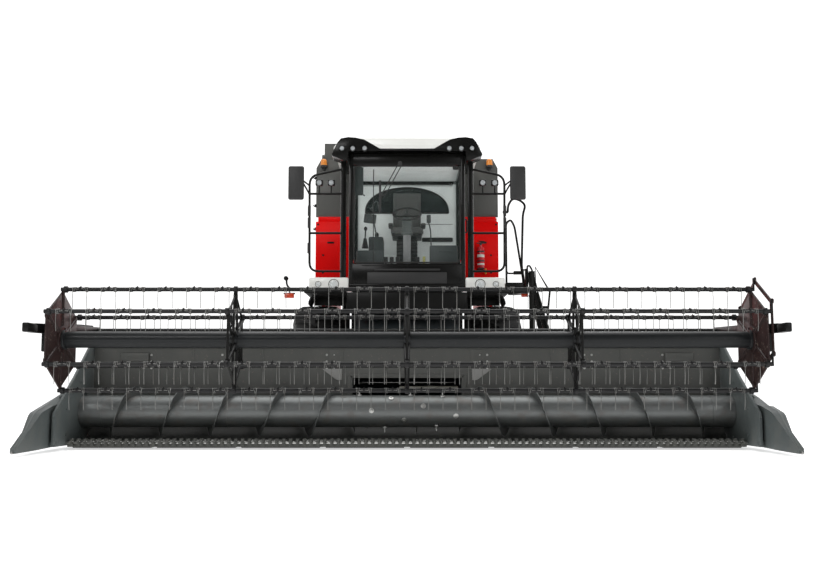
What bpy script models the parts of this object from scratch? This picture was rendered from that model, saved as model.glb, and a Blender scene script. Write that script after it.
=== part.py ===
"""Combine harvester with a rigid grain header: each sub-part is one closed solid, in metres, +Z up.

The machine faces -Y. Y_AXLE places the front axle so that the whole object is centred on the origin.
"""

import math

import bmesh
import bpy
from mathutils import Matrix, Vector

for old in list(bpy.data.objects):
    bpy.data.objects.remove(old, do_unlink=True)

# ---- driving dimensions ----
GAP = 0.0003              # between pieces that touch
RUN = 0.006               # running clearance beside moving pieces
Y_AXLE = -0.80            # front axle, in the object's own frame

# wheels and axles
TYRE_R, TYRE_W, TYRE_X = 0.935, 0.68, 1.28
RIM_R, RIM_DISC_X = 0.45, 1.11
REAR_R, REAR_W, REAR_X = 0.625, 0.46, 1.25
REAR_RIM_R, REAR_DISC_X, KINGPIN_X = 0.32, 1.10, 0.93
WHEELBASE = 3.60
AXLE_H, AXLE_D, HUB_R = 0.30, 0.30, 0.24
REAR_BEAM_H, REAR_BEAM_D = 0.22, 0.18

# body
BODY_X, BODY_FRONT, BODY_END, BODY_TOP = 0.80, -0.30, WHEELBASE + 1.40, 2.70
PANEL_X, PANEL_LOW, RED_TOP, GREY_LOW = 1.355, 2.08, 3.13, 3.20
TANK_X, TANK_END, TANK_TOP, TANK_WALL = 1.00, 2.60, 4.08, 0.03
PANEL_Y = 0.02            # back of the red bulkhead, front of the tank
LEDGE_X = 1.30
HOOD_END, HOOD_TOP = 4.60, 3.70
DOOR_T, DOOR_LOW = 0.045, 1.35
LID_T = 0.03
TAIL_END = BODY_END + 1.05

# cab
CAB_X, CAB_FRONT, CAB_BACK, CAB_LOW, CAB_TOP = 0.775, -1.45, -0.10, 2.00, 3.81
FLOOR_Z, CEILING_Z, POST = 2.24, 3.70, 0.055
GLASS_LOW, GLASS_TOP, GLASS_T = 2.32, 3.65, 0.012
SIDE_FRONT, SIDE_BACK = -1.36, -0.22
ROOF_X, ROOF_TOP, ROOF_FRONT = 1.01, 4.00, -1.60
REAR_WIN_X, REAR_WIN_LOW, REAR_WIN_H = CAB_X - 0.165, 3.23, 0.385

# platform and ladder
DECK_Z, DECK_T, DECK_X, DECK_LEFT = 1.96, 0.03, 1.38, 1.62
RAIL_X, RAIL_Y, RAIL_R = 1.30, -1.49, 0.016
LADDER_X, LADDER_Y, LADDER_W, LADDER_OUT, LADDER_LOW = 1.66, -1.40, 0.45, 0.49, 0.35

# feeder house and header
FEED_Y, FEED_Z, FEED_X, FEED_WALL = -0.62, 1.62, 0.70, 0.03
HEAD_BACK, WALL_FRONT, HEAD_TOP, HEAD_X, SHEET_T = -2.15, -2.40, 1.20, 3.80, 0.06
AUGER_Y, AUGER_Z, AUGER_R, FLIGHT_R, PITCH = -2.745, 0.41, 0.185, 0.295, 0.58
TROUGH_R, KNIFE_Y, KNIFE_Z, FLOOR_T = 0.345, -3.25, 0.085, 0.025
DIVIDER_X, DIVIDER_TIP = HEAD_X + 0.20, -4.40
SHEET_FRONT = -3.65

# reel
REEL_Y, REEL_Z, REEL_R, REEL_X, REEL_TUBE = -3.83, 1.20, 0.54, HEAD_X - 0.10, 0.0875
BAR_R, BARS, PLATE_T, RING_OFF = 0.022, 6, 0.02, 0.105
ARM_Y, ARM_Z, ARM_X, ARM_W, ARM_TIP = -2.27, 1.36, HEAD_X + 0.01, 0.07, -4.45
SPIDER_X = (-1.84, 0.0, 1.80)

# lift cylinders: base pin on the axle, eye on the feeder house
LIFT_X, LIFT_BASE, LIFT_EYE = 0.55, (-0.10, TYRE_R - 0.335), (-1.55, 0.45)
BARREL_R, ROD_R, BARREL_L = 0.05, 0.027, 0.95

# unloading auger
SPOUT_X, SPOUT_Y, SPOUT_Z, SPOUT_R, SPOUT_L = 1.20, 0.45, 3.55, 0.16, 4.60

machine = bpy.data.objects.new("machine", None)
bpy.context.scene.collection.objects.link(machine)
machine.location = (0, Y_AXLE, 0)


# ---- materials ----
def material(name, colour, roughness, metallic=0.0):
    made = bpy.data.materials.new(name)
    made.use_nodes = True
    shader = made.node_tree.nodes["Principled BSDF"]
    shader.inputs["Base Color"].default_value = (*colour, 1)
    shader.inputs["Roughness"].default_value = roughness
    shader.inputs["Metallic"].default_value = metallic
    return made


RED = material("red_paint", (0.61, 0.003, 0.003), 0.3)
GREY = material("grey_paint", (0.10, 0.10, 0.095), 0.4)
WHITE = material("white_paint", (0.85, 0.84, 0.80), 0.35)
BLACK = material("black_paint", (0.012, 0.012, 0.011), 0.4)
SLATE = material("slate_paint", (0.045, 0.058, 0.064), 0.4)
STEEL = material("worn_steel", (0.20, 0.21, 0.21), 0.35, 0.9)
CHROME = material("rod_chrome", (0.6, 0.6, 0.6), 0.1, 1.0)
BROWN = material("plate_brown", (0.046, 0.013, 0.012), 0.5)
TYRE = material("tyre_rubber", (0.02, 0.02, 0.02), 0.8)
GLASS = material("clear_glass", (0.8, 0.85, 0.85), 0.05)
FABRIC = material("seat_cloth", (0.14, 0.14, 0.13), 0.9)
PLASTIC = material("dark_plastic", (0.02, 0.02, 0.02), 0.6)
LINING = material("cab_lining", (0.5, 0.54, 0.52), 0.7)


# ---- shapes, as bmeshes in the machine's frame ----
def box(x0, x1, y0, y1, z0, z1):
    bm = bmesh.new()
    bmesh.ops.create_cube(bm, size=1)
    bmesh.ops.scale(bm, verts=bm.verts, vec=(x1 - x0, y1 - y0, z1 - z0))
    bmesh.ops.translate(bm, verts=bm.verts, vec=((x0 + x1) / 2, (y0 + y1) / 2, (z0 + z1) / 2))
    return bm


def block(centre, size):
    """A box from its centre and its three sides."""
    low = [c - s / 2 for c, s in zip(centre, size)]
    high = [c + s / 2 for c, s in zip(centre, size)]
    return box(low[0], high[0], low[1], high[1], low[2], high[2])


def prism(outline, x0, x1):
    """An outline of (y, z) points, drawn across the machine from x0 to x1."""
    bm = bmesh.new()
    face = bm.faces.new([bm.verts.new((x0, y, z)) for y, z in outline])
    made = bmesh.ops.extrude_face_region(bm, geom=[face])["geom"]
    moved = [v for v in made if isinstance(v, bmesh.types.BMVert)]
    bmesh.ops.translate(bm, verts=moved, vec=(x1 - x0, 0, 0))
    bmesh.ops.recalc_face_normals(bm, faces=bm.faces)
    return bm


def plate(outline, y0, y1):
    """An outline of (x, z) points, drawn along the machine from y0 to y1."""
    bm = bmesh.new()
    face = bm.faces.new([bm.verts.new((x, y0, z)) for x, z in outline])
    made = bmesh.ops.extrude_face_region(bm, geom=[face])["geom"]
    moved = [v for v in made if isinstance(v, bmesh.types.BMVert)]
    bmesh.ops.translate(bm, verts=moved, vec=(0, y1 - y0, 0))
    bmesh.ops.recalc_face_normals(bm, faces=bm.faces)
    return bm


def rod(start, end, radius, sides=12, flat=False):
    """A round bar between two points. With flat, a side faces down, at the given radius."""
    start, end = Vector(start), Vector(end)
    outer = radius / math.cos(math.pi / sides) if flat else radius
    bm = bmesh.new()
    bmesh.ops.create_cone(bm, cap_ends=True, segments=sides, radius1=outer, radius2=outer,
                          depth=(end - start).length)
    if flat:
        bmesh.ops.rotate(bm, verts=bm.verts, matrix=Matrix.Rotation(math.pi / sides, 3, "Z"))
    turn = (end - start).to_track_quat("Z", "Y").to_matrix()
    bmesh.ops.rotate(bm, verts=bm.verts, matrix=turn)
    bmesh.ops.translate(bm, verts=bm.verts, vec=(start + end) / 2)
    return bm


def turned(profile, centre, steps=32):
    """A ring turned about the X line through centre, from its closed profile of (x, radius) points."""
    bm = bmesh.new()
    rows = []
    for step in range(steps):
        angle = 2 * math.pi * (step + 0.5) / steps
        grow = 1 / math.cos(math.pi / steps)
        rows.append([bm.verts.new((centre[0] + x, centre[1] + r * grow * math.sin(angle),
                                   centre[2] - r * grow * math.cos(angle))) for x, r in profile])
    for step in range(steps):
        here, there = rows[step], rows[(step + 1) % steps]
        for k in range(len(profile)):
            after = (k + 1) % len(profile)
            bm.faces.new((here[k], here[after], there[after], there[k]))
    bmesh.ops.recalc_face_normals(bm, faces=bm.faces)
    return bm


def hull(points):
    bm = bmesh.new()
    for point in points:
        bm.verts.new(point)
    made = bmesh.ops.convex_hull(bm, input=bm.verts)
    spare = [v for v in made["geom_interior"] + made["geom_unused"] if isinstance(v, bmesh.types.BMVert)]
    bmesh.ops.delete(bm, geom=list(set(spare)), context="VERTS")
    bmesh.ops.recalc_face_normals(bm, faces=bm.faces)
    return bm


def tube(points, radius):
    """Round tube through the points, mitred at its corners."""
    curve = bpy.data.curves.new("tube", "CURVE")
    curve.dimensions = "3D"
    curve.bevel_depth = radius
    curve.bevel_resolution = 1
    curve.use_fill_caps = True
    spline = curve.splines.new("POLY")
    spline.points.add(len(points) - 1)
    for place, point in zip(spline.points, points):
        place.co = (*point, 1)
    guide = bpy.data.objects.new("tube", curve)
    mesh = bpy.data.meshes.new_from_object(guide)
    bpy.data.objects.remove(guide, do_unlink=True)
    bm = bmesh.new()
    bm.from_mesh(mesh)
    bpy.data.meshes.remove(mesh)
    bmesh.ops.remove_doubles(bm, verts=bm.verts, dist=1e-5)
    bmesh.ops.recalc_face_normals(bm, faces=bm.faces)
    return bm


def ribbon(x_from, x_to, hand, inner, outer, thick, pitch, centre):
    """One auger flight: a screw strip about the X line through centre."""
    turns = abs(x_to - x_from) / pitch
    steps = math.ceil(turns * 14)
    bm = bmesh.new()
    rows = []
    for step in range(steps + 1):
        share = step / steps
        x = x_from + (x_to - x_from) * share
        angle = hand * 2 * math.pi * turns * share
        y, z = math.sin(angle), math.cos(angle)
        rows.append([bm.verts.new((x + dx, centre[0] + r * y, centre[1] + r * z))
                     for dx, r in ((-thick / 2, inner), (-thick / 2, outer), (thick / 2, outer), (thick / 2, inner))])
    for here, there in zip(rows, rows[1:]):
        for k in range(4):
            bm.faces.new((here[k], here[(k + 1) % 4], there[(k + 1) % 4], there[k]))
    bm.faces.new(rows[0])
    bm.faces.new(rows[-1][::-1])
    bmesh.ops.triangulate(bm, faces=bm.faces)
    bmesh.ops.recalc_face_normals(bm, faces=bm.faces)
    return bm


def both(shape, *sizes):
    """The same box or bar on each side of the machine."""
    made = []
    for side in (1, -1):
        bm = shape(*sizes)
        bmesh.ops.scale(bm, verts=bm.verts, vec=(side, 1, 1))
        bmesh.ops.recalc_face_normals(bm, faces=bm.faces)
        made.append(bm)
    return made


def to_object(name, bm, origin):
    mesh = bpy.data.meshes.new(name)
    bmesh.ops.translate(bm, verts=bm.verts, vec=[-c for c in origin])
    bm.to_mesh(mesh)
    bm.free()
    made = bpy.data.objects.new(name, mesh)
    made.parent = machine
    made.location = origin
    return made


def node(name, finish, add, cut=(), origin=(0, 0, 0), bevel=0.0):
    """A sub-part: its shapes joined into one body, less what is cut, with its origin on its joint."""
    made = to_object(name, add[0], origin)
    bpy.context.scene.collection.objects.link(made)
    made.data.materials.append(finish)
    for operation, shapes in (("UNION", add[1:]), ("DIFFERENCE", cut)):
        if not shapes:
            continue
        helpers = bpy.data.collections.new(f"{name}_{operation.lower()}")
        bpy.context.scene.collection.children.link(helpers)
        for shape in shapes:
            helper = to_object(f"{name}_helper", shape, origin)
            helper.hide_render = True
            helper.display_type = "WIRE"
            helpers.objects.link(helper)
        change = made.modifiers.new(operation.lower(), "BOOLEAN")
        change.operand_type = "COLLECTION"
        change.collection = helpers
        change.operation = operation
        change.solver = "EXACT"
    if bevel:
        edge = made.modifiers.new("edge", "BEVEL")
        edge.width = bevel
        edge.segments = 1
    return made


# ---- machine body ----
axle_top = TYRE_R + AXLE_H / 2
rear_top = REAR_R + REAR_BEAM_H / 2
side_rise = REAR_R * 2 + 0.08        # the rear wheels swing under the body here
ear_x = FEED_X + GAP
nose_top = CAB_LOW - 0.02
node("threshing_body", RED, [
    prism([(BODY_FRONT, axle_top + GAP), (0.32, axle_top + GAP), (0.40, 0.80), (WHEELBASE - 1.00, 0.80),
           (WHEELBASE - 0.75, side_rise),
           (BODY_END, 1.60), (BODY_END, BODY_TOP), (PANEL_Y, BODY_TOP), (PANEL_Y, nose_top),
           (BODY_FRONT, nose_top)], -BODY_X, BODY_X),
    *both(box, ear_x, ear_x + 0.06, FEED_Y - 0.10, BODY_FRONT + 0.05, FEED_Z - 0.12, FEED_Z + 0.12),
    box(-0.20, 0.20, WHEELBASE - 0.18, WHEELBASE + 0.18, rear_top + GAP, side_rise + 0.15)])

node("front_bulkhead", RED, [box(-PANEL_X, PANEL_X, PANEL_Y - 0.05, PANEL_Y - GAP, PANEL_LOW, RED_TOP),
                             box(-PANEL_X + 0.02, PANEL_X - 0.02, PANEL_Y - 0.03, PANEL_Y - GAP, RED_TOP - 0.02,
                                 GREY_LOW - GAP)])

chamfer_x, chamfer_z = 1.28, TANK_TOP - 0.14
tank_low = BODY_TOP + GAP
hopper = [(-TANK_X, GREY_LOW), (-BODY_X, tank_low), (BODY_X, tank_low), (TANK_X, GREY_LOW), (TANK_X, TANK_TOP),
          (-TANK_X, TANK_TOP)]
inner = TANK_X - TANK_WALL
hollow = [(-inner, GREY_LOW), (-BODY_X + 0.04, tank_low + TANK_WALL), (BODY_X - 0.04, tank_low + TANK_WALL),
          (inner, GREY_LOW), (inner, TANK_TOP + 0.1), (-inner, TANK_TOP + 0.1)]
front_panel = [(-PANEL_X, GREY_LOW), (PANEL_X, GREY_LOW), (PANEL_X, chamfer_z), (chamfer_x, TANK_TOP),
               (-chamfer_x, TANK_TOP), (-PANEL_X, chamfer_z)]
ledge_z = (GREY_LOW - 0.07, GREY_LOW)
elevator_y = (0.20, 0.56)
node("grain_tank", GREY, [
    plate(hopper, PANEL_Y, TANK_END), plate(front_panel, PANEL_Y, PANEL_Y + 0.04),
    box(TANK_X - 0.05, LEDGE_X - GAP, PANEL_Y + 0.02, HOOD_END, *ledge_z),
    box(-LEDGE_X + GAP, -TANK_X + 0.05, elevator_y[1] + 0.05, HOOD_END, *ledge_z)],
    cut=[plate(hollow, PANEL_Y + 0.04 + TANK_WALL, TANK_END - TANK_WALL)])

hood_low, hood_wall, hood_front = BODY_TOP + GAP, 0.03, TANK_END + GAP
ledge_gap = TANK_X - 0.05 - GAP
hood = [(-ledge_gap, hood_low), (ledge_gap, hood_low), (ledge_gap, GREY_LOW + GAP), (TANK_X, GREY_LOW + GAP),
        (TANK_X, HOOD_TOP - 0.12), (TANK_X - 0.12, HOOD_TOP), (-TANK_X + 0.12, HOOD_TOP),
        (-TANK_X, HOOD_TOP - 0.12), (-TANK_X, GREY_LOW + GAP), (-ledge_gap, GREY_LOW + GAP)]
node("engine_hood", RED, [plate(hood, hood_front, HOOD_END)],
     cut=[box(-ledge_gap + hood_wall, ledge_gap - hood_wall, hood_front + hood_wall, HOOD_END - hood_wall,
              hood_low - 0.1, HOOD_TOP - 0.15)])
node("engine_block", STEEL, [box(-0.45, 0.45, 3.00, 4.20, BODY_TOP + GAP, 3.35)])

tail = [(BODY_END + GAP, 1.55), (BODY_END + 0.35, 1.20), (TAIL_END - 0.15, 1.15), (TAIL_END, 1.45),
        (TAIL_END - 0.10, 2.10), (TAIL_END - 0.40, 2.75),
        (BODY_END + GAP, 3.00)]
tail_inner = [(BODY_END + 0.04, 1.00), (BODY_END + 0.33, 1.00), (TAIL_END - 0.17, 1.00), (TAIL_END - 0.04, 1.45),
              (TAIL_END - 0.14, 2.09), (TAIL_END - 0.43, 2.71), (BODY_END + 0.04, 2.94)]
node("straw_hood", RED, [prism(tail, -0.88, 0.88)],
     cut=[prism(tail_inner, -0.85, 0.85)])

# ---- axles ----
hub_end = RIM_DISC_X - GAP
base_y, base_z = LIFT_BASE
node("front_axle", BLACK, [
    box(-0.86, 0.86, -AXLE_D / 2, AXLE_D / 2, TYRE_R - AXLE_H / 2, axle_top),
    *both(rod, (0.82, 0, TYRE_R), (hub_end, 0, TYRE_R), HUB_R, 20),
    *both(box, LIFT_X - 0.09, LIFT_X - BARREL_R - GAP, base_y - 0.04, base_y + 0.06, base_z - 0.05, TYRE_R)])
pin_r = 0.05
node("rear_axle", BLACK, [
    box(-KINGPIN_X - 0.08, KINGPIN_X + 0.08, WHEELBASE - REAR_BEAM_D / 2, WHEELBASE + REAR_BEAM_D / 2,
        REAR_R - REAR_BEAM_H / 2, rear_top)],
    cut=both(box, KINGPIN_X - 0.075, KINGPIN_X + 0.2, WHEELBASE - 0.2, WHEELBASE + 0.2,
             REAR_R - REAR_BEAM_H / 2 + 0.03, rear_top + 0.1))
for side, sign in (("left", 1), ("right", -1)):
    x = sign * KINGPIN_X
    low = REAR_R - REAR_BEAM_H / 2 + 0.03 + GAP
    node(f"knuckle_{side}", BLACK, [
        rod((x, WHEELBASE, low), (x, WHEELBASE, rear_top + 0.10), pin_r + 0.012),
        rod((x, WHEELBASE, REAR_R), (sign * (REAR_DISC_X - GAP), WHEELBASE, REAR_R), 0.06),
        box(x - 0.02, x + 0.02, WHEELBASE + 0.02, WHEELBASE + 0.22, rear_top + 0.03, rear_top + 0.07)],
        origin=(x, WHEELBASE, REAR_R))


# ---- wheels ----
def wheel(name, centre, sign, radius, width, rim_r, disc_x, hub_r):
    """A tyre and its rim, each turned about the wheel's own axis."""
    half, crown = width / 2, radius * 0.035
    tyre = [(-half, radius - 0.13), (-half + 0.07, radius - crown), (-half + 0.16, radius), (half - 0.16, radius),
            (half - 0.07, radius - crown), (half, radius - 0.13), (half - 0.01, rim_r + 0.10),
            (half - 0.07, rim_r + GAP), (-half + 0.07, rim_r + GAP), (-half + 0.01, rim_r + 0.10)]
    node(f"{name}_tyre", TYRE, [turned(tyre, centre)], origin=centre)
    disc = sign * (disc_x - abs(centre[0]))
    inner_r = rim_r - 0.03
    rim = [(-half + 0.05, inner_r), (-half + 0.05, rim_r), (half - 0.05, rim_r), (half - 0.05, inner_r)]
    ends = sorted((disc, disc + sign * 0.04))
    x0, x1 = centre[0] + ends[0], centre[0] + ends[1]
    hub = sorted((x0, x1 + sign * 0.08)) if sign > 0 else sorted((x1, x0 - 0.08))
    node(f"{name}_rim", WHITE, [
        turned(rim, centre), rod((x0, *centre[1:]), (x1, *centre[1:]), inner_r + 0.012, 28),
        rod((hub[0], *centre[1:]), (hub[1], *centre[1:]), hub_r, 16)], origin=centre)


for side, sign in (("left", 1), ("right", -1)):
    wheel(f"front_{side}", (sign * TYRE_X, 0, TYRE_R), sign, TYRE_R, TYRE_W, RIM_R, RIM_DISC_X, 0.16)
    wheel(f"rear_{side}", (sign * REAR_X, WHEELBASE, REAR_R), sign, REAR_R, REAR_W, REAR_RIM_R, REAR_DISC_X, 0.10)

# ---- cab ----
inside = CAB_X - POST
node("cab_frame", BLACK, [box(-CAB_X, CAB_X, CAB_FRONT, CAB_BACK, CAB_LOW, CAB_TOP)],
     cut=[box(-inside, inside, CAB_FRONT + POST, CAB_BACK - POST, FLOOR_Z, CEILING_Z),
          box(-inside, inside, CAB_FRONT - 0.1, CAB_FRONT + 0.1, GLASS_LOW, GLASS_TOP),
          box(-CAB_X - 0.1, CAB_X + 0.1, SIDE_FRONT, SIDE_BACK, GLASS_LOW, GLASS_TOP),
          box(-inside + 0.04, inside - 0.04, CAB_BACK - 0.1, CAB_BACK + 0.1, FLOOR_Z + 0.1, GLASS_TOP)])
node("cab_roof", WHITE, [box(-ROOF_X, ROOF_X, ROOF_FRONT, PANEL_Y - 0.055, CAB_TOP + GAP, ROOF_TOP)], bevel=0.05)
wall_x = inside - 0.04 - GAP
window_arc = [(REAR_WIN_X * math.cos(math.radians(a)), REAR_WIN_LOW + REAR_WIN_H * math.sin(math.radians(a)))
              for a in range(0, 181, 20)]
node("cab_rear_wall", LINING, [box(-wall_x, wall_x, CAB_BACK - 0.04, CAB_BACK - 0.01, FLOOR_Z + 0.1 + GAP,
                                   GLASS_TOP - GAP)],
     cut=[plate(window_arc, CAB_BACK - 0.1, CAB_BACK + 0.1)])
pane_arc = [(x * (1 - GAP / REAR_WIN_X), REAR_WIN_LOW + GAP + (z - REAR_WIN_LOW) * (1 - 2 * GAP / REAR_WIN_H))
            for x, z in window_arc]
node("rear_window", GLASS, [plate(pane_arc, CAB_BACK - 0.03, CAB_BACK - 0.03 + GLASS_T)])
node("windscreen", GLASS, [box(-inside + GAP, inside - GAP, CAB_FRONT + 0.01, CAB_FRONT + 0.01 + GLASS_T,
                               GLASS_LOW + GAP, GLASS_TOP - GAP)])
node("right_window", GLASS, [box(-CAB_X + 0.01, -CAB_X + 0.01 + GLASS_T, SIDE_FRONT + GAP, SIDE_BACK - GAP,
                                 GLASS_LOW + GAP, GLASS_TOP - GAP)])

door_front, door_back = SIDE_FRONT + RUN, SIDE_BACK - GAP
door_low, door_top, door_in = GLASS_LOW + RUN, GLASS_TOP - RUN, CAB_X - 0.035
hinge = (CAB_X, door_back, (door_low + door_top) / 2)
node("cab_door", BLACK, [box(door_in, CAB_X, door_front, door_back, door_low, door_top),
                         box(CAB_X - 0.01, CAB_X + 0.045, door_front + 0.06, door_front + 0.09, 2.75, 2.95)],
     cut=[box(door_in - 0.1, CAB_X + 0.1, door_front + 0.05, door_back - 0.05, door_low + 0.08, door_top - 0.05)],
     origin=hinge)
node("cab_door_glass", GLASS, [box(door_in + 0.01, door_in + 0.01 + GLASS_T, door_front + 0.05 + GAP,
                                   door_back - 0.05 - GAP, door_low + 0.08 + GAP, door_top - 0.05 - GAP)],
     origin=hinge)

seat_y, seat_x = -0.42, 0.215
node("driver_seat", FABRIC, [
    box(-0.17, 0.17, seat_y - 0.17, seat_y + 0.15, FLOOR_Z + GAP, 2.78),
    block((0, seat_y - 0.03, 2.83), (2 * seat_x + 0.06, 0.50, 0.14)),
    prism([(seat_y + 0.13, 2.84), (seat_y + 0.26, 2.84), (seat_y + 0.265, 3.49), (seat_y + 0.17, 3.49)],
          -seat_x, seat_x)])
steer_y, steer_z, steer_r = -1.05, 3.08, 0.20
node("steering_column", PLASTIC, [
    prism([(steer_y - 0.08, FLOOR_Z + GAP), (steer_y + 0.04, FLOOR_Z + GAP), (steer_y + 0.05, 2.98),
           (steer_y - 0.03, 2.98)], -0.05, 0.05),
    rod((0, steer_y, 2.9), (0, steer_y + 0.03, steer_z), 0.025),
    rod((0, steer_y + 0.025, steer_z - 0.015), (0, steer_y + 0.033, steer_z + 0.012), steer_r, 24)])
node("cab_console", PLASTIC, [box(-0.54, -0.33, -0.80, -0.30, FLOOR_Z + GAP, 2.94),
                              rod((-0.44, -0.70, 2.9), (-0.44, -0.73, 3.10), 0.022)])

# ---- platform, lamps and rails ----
beam_z = (1.80, DECK_Z - DECK_T)
rear_beam = (BODY_FRONT - 0.10 - GAP, BODY_FRONT - GAP)
skirt_y = (-TYRE_R - 0.10, -TYRE_R - 0.07)
deck_in, deck_back = BODY_X + GAP, -0.05
node("platform", BLACK, [
    box(-DECK_X, DECK_X, -1.36, -1.26, *beam_z), box(-BODY_X, BODY_X, *rear_beam, *beam_z),
    box(deck_in, DECK_LEFT, CAB_FRONT, deck_back, DECK_Z - DECK_T - 0.02, DECK_Z),
    box(-DECK_X, -deck_in, CAB_FRONT, deck_back, DECK_Z - DECK_T - 0.02, DECK_Z),
    *both(box, 0.60, 0.68, -1.36, rear_beam[1], beam_z[0], CAB_LOW - GAP),
    *both(box, 1.00, DECK_X, *skirt_y, 1.35, DECK_Z - 0.01)])

box_x, box_z, box_front = (0.77, 1.295), (1.965, 2.13), -1.53
lamp_bar = CAB_FRONT - GAP
node("headlight_panels", WHITE, [
    box(-0.80, 0.80, lamp_bar - 0.03, lamp_bar, 2.005, 2.045),
    *both(box, *box_x, box_front, lamp_bar, *box_z)])

rail_bars = (2.21, 2.72, 3.25)
outer_x, inner_x, rail_low = RAIL_X, 0.86, box_z[1]
mirror_x, mirror_z = (1.37, 1.58), (3.16, 3.62)
for side, sign in (("left", 1), ("right", -1)):
    route = [(sign * inner_x, RAIL_Y, rail_low + GAP), (sign * inner_x, RAIL_Y, 3.50),
             (sign * (outer_x - 0.04), RAIL_Y, 3.38), (sign * outer_x, RAIL_Y, 3.32),
             (sign * outer_x, RAIL_Y, rail_low + GAP)]
    xs = sorted((sign * mirror_x[0], sign * mirror_x[1]))
    shelf = sorted((sign * (inner_x - 0.02), sign * (outer_x - 0.01)))
    node(f"handrail_{side}", BLACK, [
        tube(route, RAIL_R),
        *[rod((sign * inner_x, RAIL_Y, z), (sign * outer_x, RAIL_Y, z), RAIL_R, 8) for z in rail_bars],
        rod((sign * outer_x, RAIL_Y, 3.25), (sign * mirror_x[0], RAIL_Y - 0.02, 3.38), 0.012, 6),
        box(*xs, RAIL_Y - 0.06, RAIL_Y + 0.0, *mirror_z),
        *[block((sign * lamp, RAIL_Y - 0.02, 3.355), (0.11, 0.09, 0.10)) for lamp in (1.17, 1.01)],
        *[rod((sign * lamp, RAIL_Y, 3.25), (sign * lamp, RAIL_Y, 3.32), 0.012, 6) for lamp in (1.17, 1.01)],
        box(*shelf, RAIL_Y - 0.01, RAIL_Y + 0.01, rail_low + GAP, rail_low + 0.03)])

hinge = (LADDER_X, LADDER_Y, 1.5)
top_z = DECK_Z - 0.02
post_x = DECK_LEFT + GAP
foot_x = LADDER_X + LADDER_OUT
stringer = [(LADDER_X + 0.01, top_z), (LADDER_X + 0.09, top_z), (foot_x + 0.04, LADDER_LOW), (foot_x - 0.04, LADDER_LOW)]
steps = 4
treads = []
for k in range(steps):
    share = (k + 0.5) / steps
    x = LADDER_X + 0.05 + (LADDER_OUT - 0.05) * share
    z = top_z + (LADDER_LOW - top_z) * share
    treads.append(block((x + 0.02, LADDER_Y + LADDER_W / 2, z), (0.20, LADDER_W - 0.02, 0.035)))
node("ladder", BLACK, [
    plate(stringer, LADDER_Y, LADDER_Y + 0.03), plate(stringer, LADDER_Y + LADDER_W - 0.03, LADDER_Y + LADDER_W),
    rod((LADDER_X, LADDER_Y, 1.35), (LADDER_X, LADDER_Y, 2.22), LADDER_X - post_x - GAP, 12), *treads,
    tube([(LADDER_X + 0.05, LADDER_Y + 0.015, top_z - 0.03), (LADDER_X + 0.05, LADDER_Y + 0.015, 2.28),
          (LADDER_X + 0.24, LADDER_Y + 0.015, 1.95), (LADDER_X + 0.19, LADDER_Y + 0.015, 1.50)], 0.014)],
    origin=hinge)

elevator_x = (-1.25, -TANK_X - GAP)
node("grain_elevator", GREY, [box(*elevator_x, *elevator_y, DECK_Z + 0.04, 4.36),
                              box(elevator_x[0], -TANK_X + 0.08, *elevator_y, TANK_TOP + GAP, 4.36)], bevel=0.0)

# ---- doors, lids and the unloading auger ----
for side, sign in (("left", 1), ("right", -1)):
    start = 0.66 if sign < 0 else 0.12
    outline = [(start, GREY_LOW), (HOOD_END - 0.05, GREY_LOW), (HOOD_END + 0.15, 2.2), (HOOD_END - 0.1, DOOR_LOW + 0.15),
               (3.9, DOOR_LOW), (1.25, DOOR_LOW), (1.02, PANEL_LOW), (start, PANEL_LOW)]
    xs = sorted((sign * LEDGE_X, sign * (LEDGE_X + DOOR_T)))
    node(f"side_door_{side}", RED, [prism(outline, *xs)], origin=(sign * LEDGE_X, 2.4, GREY_LOW))
    lid_start = elevator_y[1] + 0.06 if sign < 0 else PANEL_Y + 0.05
    xs = sorted((sign * 0.004, sign * (TANK_X - 0.005)))
    node(f"tank_lid_{side}", GREY, [box(*xs, lid_start, TANK_END - 0.005, TANK_TOP + GAP, TANK_TOP + LID_T)],
         origin=(sign * (TANK_X - 0.005), 1.4, TANK_TOP + GAP))

node("unloading_auger", RED, [
    rod((SPOUT_X, SPOUT_Y, GREY_LOW + GAP), (SPOUT_X, SPOUT_Y, SPOUT_Z), LEDGE_X - SPOUT_X - 0.01, 16),
    rod((SPOUT_X, SPOUT_Y, GREY_LOW + 0.07), (SPOUT_X, SPOUT_Y, SPOUT_Z + 0.12), SPOUT_R, 16),
    rod((SPOUT_X, SPOUT_Y - 0.10, SPOUT_Z), (SPOUT_X, SPOUT_Y + SPOUT_L - 0.1, SPOUT_Z), SPOUT_R, 16),
    rod((SPOUT_X, SPOUT_Y + SPOUT_L - 0.2, SPOUT_Z), (SPOUT_X, SPOUT_Y + SPOUT_L + 0.10, SPOUT_Z - 0.28),
        SPOUT_R + 0.02, 12)], origin=(SPOUT_X, SPOUT_Y, SPOUT_Z))

# ---- feeder house ----
feeder = (0, FEED_Y, FEED_Z)
feed_front = HEAD_BACK + GAP
mouth_low, mouth_top = 0.28, 1.02
heel = (FEED_Y + 0.05, 1.25)         # bottom of the slope, at the pivot
crown = (FEED_Y + 0.08, 1.80)        # top of the slope
tunnel = [(FEED_Y + 0.17, 1.40), (FEED_Y + 0.17, 1.70), crown, (feed_front, mouth_top), (feed_front, mouth_low), heel]
past = 0.10                          # the bore runs on past both ends
slope_top = (crown[1] - mouth_top) / (crown[0] - feed_front)
slope_low = (heel[1] - mouth_low) / (heel[0] - feed_front)
skin = FEED_WALL * 1.17              # the wall, measured upright on the slope
bore = [(FEED_Y + 0.3, 1.32), (FEED_Y + 0.3, 1.70), (crown[0], crown[1] - skin),
        (feed_front - past, mouth_top - skin - past * slope_top),
        (feed_front - past, mouth_low + skin - past * slope_low), (heel[0], heel[1] + skin)]
eye_y, eye_z = LIFT_EYE
lug_x = LIFT_X - 0.03
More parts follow.
